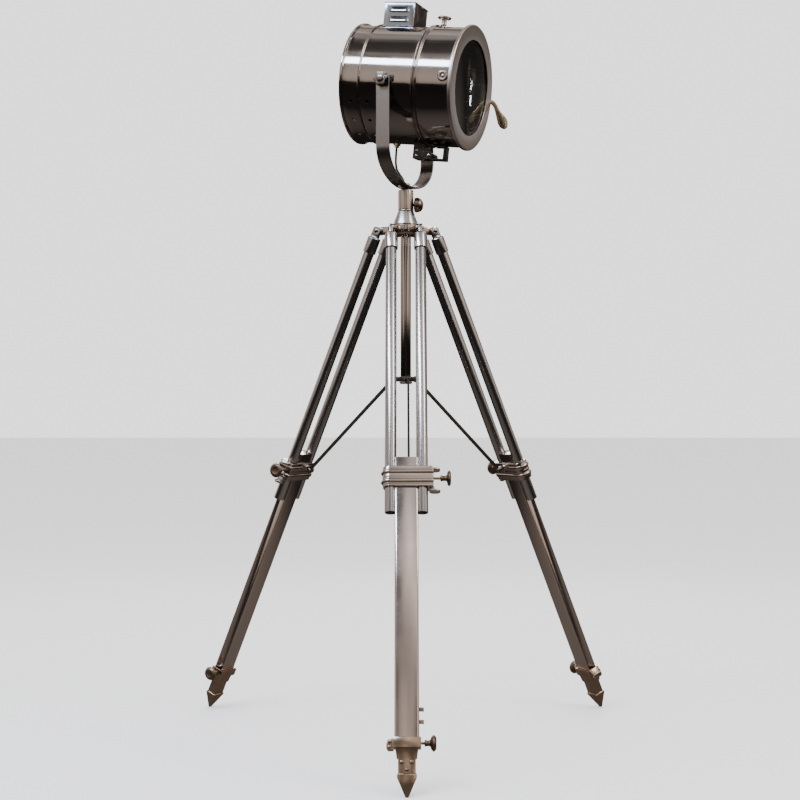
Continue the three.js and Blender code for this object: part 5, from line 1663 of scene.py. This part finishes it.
def louvre_hood():
    """One pressed hood on a cheek that faces -y: a swollen lip, open below."""
    long, tall, deep, wall = 23.5, 12.5, 5.6, 0.9
    across, down = 28, 10
    shape = bmesh.new()

    def sheet(inset):
        rows = []
        for j in range(down + 1):
            v = j / down
            row = []
            for i in range(across + 1):
                u = -1 + 2 * i / across
                bulge = max(0.0, 1 - abs(u) ** 5) ** 0.5 * math.sin(v * math.pi / 2) ** 0.8
                row.append(shape.verts.new((
                    u * (long - inset * 0.6), -(deep * bulge - inset * bulge), tall * (1 - v))))
            rows.append(row)
        return rows

    front, back = sheet(0), sheet(wall)
    for rows in (front, back):
        for first, second in zip(rows, rows[1:]):
            for i in range(across):
                shape.faces.new((first[i], first[i + 1], second[i + 1], second[i]))
    for i in range(across):
        for j in (0, down):
            shape.faces.new((front[j][i], front[j][i + 1], back[j][i + 1], back[j][i]))
    for j in range(down):
        for i in (0, across):
            shape.faces.new((front[j][i], front[j + 1][i], back[j + 1][i], back[j][i]))
    return outward(shape)


class LAMP_OT_chimney(bpy.types.Operator):
    """Adds the louvred heat vent on top of the barrel"""

    bl_idname = "lamp.chimney"
    bl_label = "Heat vent"

    def execute(self, context):
        radius = BARREL["radius"]
        x0, x1, half = CHIMNEY["x0"], CHIMNEY["x1"], CHIMNEY["half"]
        top = radius + CHIMNEY["rise"]
        middle = (x0 + x1) / 2
        walls = block(x0, x1, -half, half, radius - 24, top - 1.2)
        inner = block(x0 + 1.5, x1 - 1.5, -half + 1.5, half - 1.5, radius - 30, top - 4)
        slots = [block(middle - 21, middle + 21, -half - 3, half + 3, z, z + 4.5)
                 for z in (radius + 5, radius + 27)]
        seat = along_x(disc(radius + 0.3, x0 - 9, x1 + 9, sides=160))
        shell = without(softened(walls, 1.6, steps=3), inner, *slots, seat)
        lid = softened(block(x0 - 1, x1 + 1, -half - 1, half + 1, top - 3.4, top), 1.2, steps=3)
        base = self.skirt(radius, x0, x1, half)
        mesh = bpy.data.meshes.new("hood")
        hood = shifted(louvre_hood(), y=-half + 0.3, z=radius + 4.5)
        hood.to_mesh(mesh)
        hood.free()
        values = {"Count": 2, "Step": (0.0, 0.0, 22.0)}
        hoods = to_bmesh(grown(mesh, tree_named("Row on both cheeks", row_tree), values, None))
        shape = joined(shell, lid, base, shifted(outward(hoods), x=middle))
        shape.normal_update()
        # faces that face sideways get the bluish nickel, a painted reflection of the window light
        for face in shape.faces:
            face.material_index = 1 if abs(face.normal.y) > 0.72 else 0
        make_piece("heat_vent", shape, HEAD, "head",
                   [finish_of("nickel"), finish_of("vent")], ("chimney",), smooth=40)
        drop = radius - math.sqrt(radius ** 2 - (half + 3) ** 2)
        spots = [((x, side * (half + 3.2), radius - drop + 1.6), (0, side * 0.33, 1))
                 for x in (x0 + 6, x1 - 6) for side in (-1, 1)]
        fastener_set("vent_rivets", spots, HEAD, "head",
                     finish_of("clamp"), 2.2, 1.4)
        return {"FINISHED"}

    def skirt(self, radius, x0, x1, half):
        """A thin saddle flange that follows the barrel round the foot of the vent."""
        spread_angle = math.asin((half + 6.5) / radius)
        outline = arc((0, 0), radius + 1.7, math.pi / 2 - spread_angle,
                      math.pi / 2 + spread_angle, 40)
        outline += arc((0, 0), radius + 0.35, math.pi / 2 + spread_angle,
                       math.pi / 2 - spread_angle, 40)
        plate = prism([(-y, x) for x, y in outline], x0 - 0.2, x1 + 5)
        return along_x(plate)


class LAMP_OT_optics(bpy.types.Operator):
    """Adds the lamp holder, the bulb and the cable gland"""

    bl_idname = "lamp.optics"
    bl_label = "Holder and bulb"

    def execute(self, context):
        foot = BARREL["rear"] + 4.3
        mouth = foot + 49
        holder = turned([(0, foot), (20, foot), (20, foot + 24), (17.5, foot + 29),
                         (17.5, mouth), (14, mouth), (14, foot + 7), (0, foot + 7)],
                        rounding=1.0)
        make_piece("holder", along_x(holder), HEAD, "head",
                   finish_of("holder"), ("lamp_holder",))
        centre = mouth + 52
        start = math.radians(-42)
        crown = [(30 * math.cos(start + (math.pi / 2 - start) * k / 24),
                  centre + 30 * math.sin(start + (math.pi / 2 - start) * k / 24))
                 for k in range(24)]
        bulb = turned([(0, foot + 7.3), (8, foot + 7.3), (13.3, foot + 12.3),
                       (13.3, mouth + 2), *crown, (0, centre + 30)], rounding=1.0)
        make_piece("bulb_glass", along_x(bulb), HEAD, "head",
                   finish_of("bulb"), ("bulb",))
        top = -BARREL["radius"] - 0.4
        gland = turned([(2.8, top - 9), (4.8, top - 9), (5.5, top - 8), (5.5, top - 4.6),
                        (8.2, top - 4), (8.5, top - 3.4), (8.5, top - 0.6), (8, top), (2.8, top)],
                       rounding=0.4, closed=True)
        make_piece("gland", shifted(gland, x=GLAND_X), HEAD, "head",
                   finish_of("brass"), ("cable_gland",))
        return {"FINISHED"}


class LAMP_OT_hinge(bpy.types.Operator):
    """Adds the hinge under the head with its bracket, leaf and screws"""

    bl_idname = "lamp.hinge"
    bl_label = "Head hinge"

    def execute(self, context):
        make_piece("hinge_block", cad_shape("hinge_bracket", HEAD, 0.8), HEAD, "head",
                   finish_of("black"), ("hinge_bracket",))
        make_piece("hinge_strap", cad_shape("hinge_leaf", HEAD, 0.5), HEAD, "door",
                   finish_of("black"), ("hinge_leaf",))
        screws = [((x, side * 19, z), (0, side, 0)) for side in (-1, 1)
                  for x, z in ((50, -146), (50, -158))]
        fastener_set("block_screws", screws, HEAD, "head",
                     finish_of("clamp"), 4.2, 2.4, 1.0)
        pins = [((79, side * 19, -155.5), (0, side, 0)) for side in (-1, 1)]
        fastener_set("hinge_pin_heads", pins, HEAD, "door",
                     finish_of("clamp"), 5.0, 2.2)
        bolts = [((x, 0, -135), (0, 0, -1)) for x in (95, 107)]
        fastener_set("leaf_screws", bolts, HEAD, "door",
                     finish_of("black"), 3.6, 2.2, 0.9)
        stops = [((19.5, -131.0, -6), (0, -1, 0))]
        fastener_set("side_stop", stops, HEAD, "head",
                     finish_of("black"), 4.6, 1.2, 1.0)
        return {"FINISHED"}


class LAMP_PT_panel(bpy.types.Panel):
    """Lists the lamp's pieces and sizes"""

    bl_idname = "LAMP_PT_panel"
    bl_label = "Tripod lamp"
    bl_space_type = "VIEW_3D"
    bl_region_type = "UI"
    bl_category = "Lamp"

    def draw(self, context):
        layout = self.layout
        for operator in OPERATORS:
            layout.operator(operator.bl_idname)
        for group in (context.scene.lamp_sizes, context.scene.lamp_colours):
            for key in group.bl_rna.properties.keys():
                if key not in ("rna_type", "name"):
                    layout.prop(group, key)


OPERATORS = (
    LAMP_OT_stage, LAMP_OT_flex, LAMP_OT_leg_tubes, LAMP_OT_clamps, LAMP_OT_bars,
    LAMP_OT_feet, LAMP_OT_thumb_screws, LAMP_OT_hub, LAMP_OT_spreader, LAMP_OT_yoke,
    LAMP_OT_barrel, LAMP_OT_front, LAMP_OT_chimney, LAMP_OT_optics, LAMP_OT_hinge,
)
CLASSES = (LampSizes, LampColours, *OPERATORS, LAMP_PT_panel)


def register():
    for item in CLASSES:
        bpy.utils.register_class(item)
    bpy.types.Scene.lamp_sizes = bpy.props.PointerProperty(type=LampSizes)
    bpy.types.Scene.lamp_colours = bpy.props.PointerProperty(type=LampColours)


def unregister():
    del bpy.types.Scene.lamp_colours
    del bpy.types.Scene.lamp_sizes
    for item in reversed(CLASSES):
        bpy.utils.unregister_class(item)


def main():
    register()
    for operator in OPERATORS:
        group, name = operator.bl_idname.split(".")
        getattr(getattr(bpy.ops, group), name)()


if __name__ == "__main__":
    main()
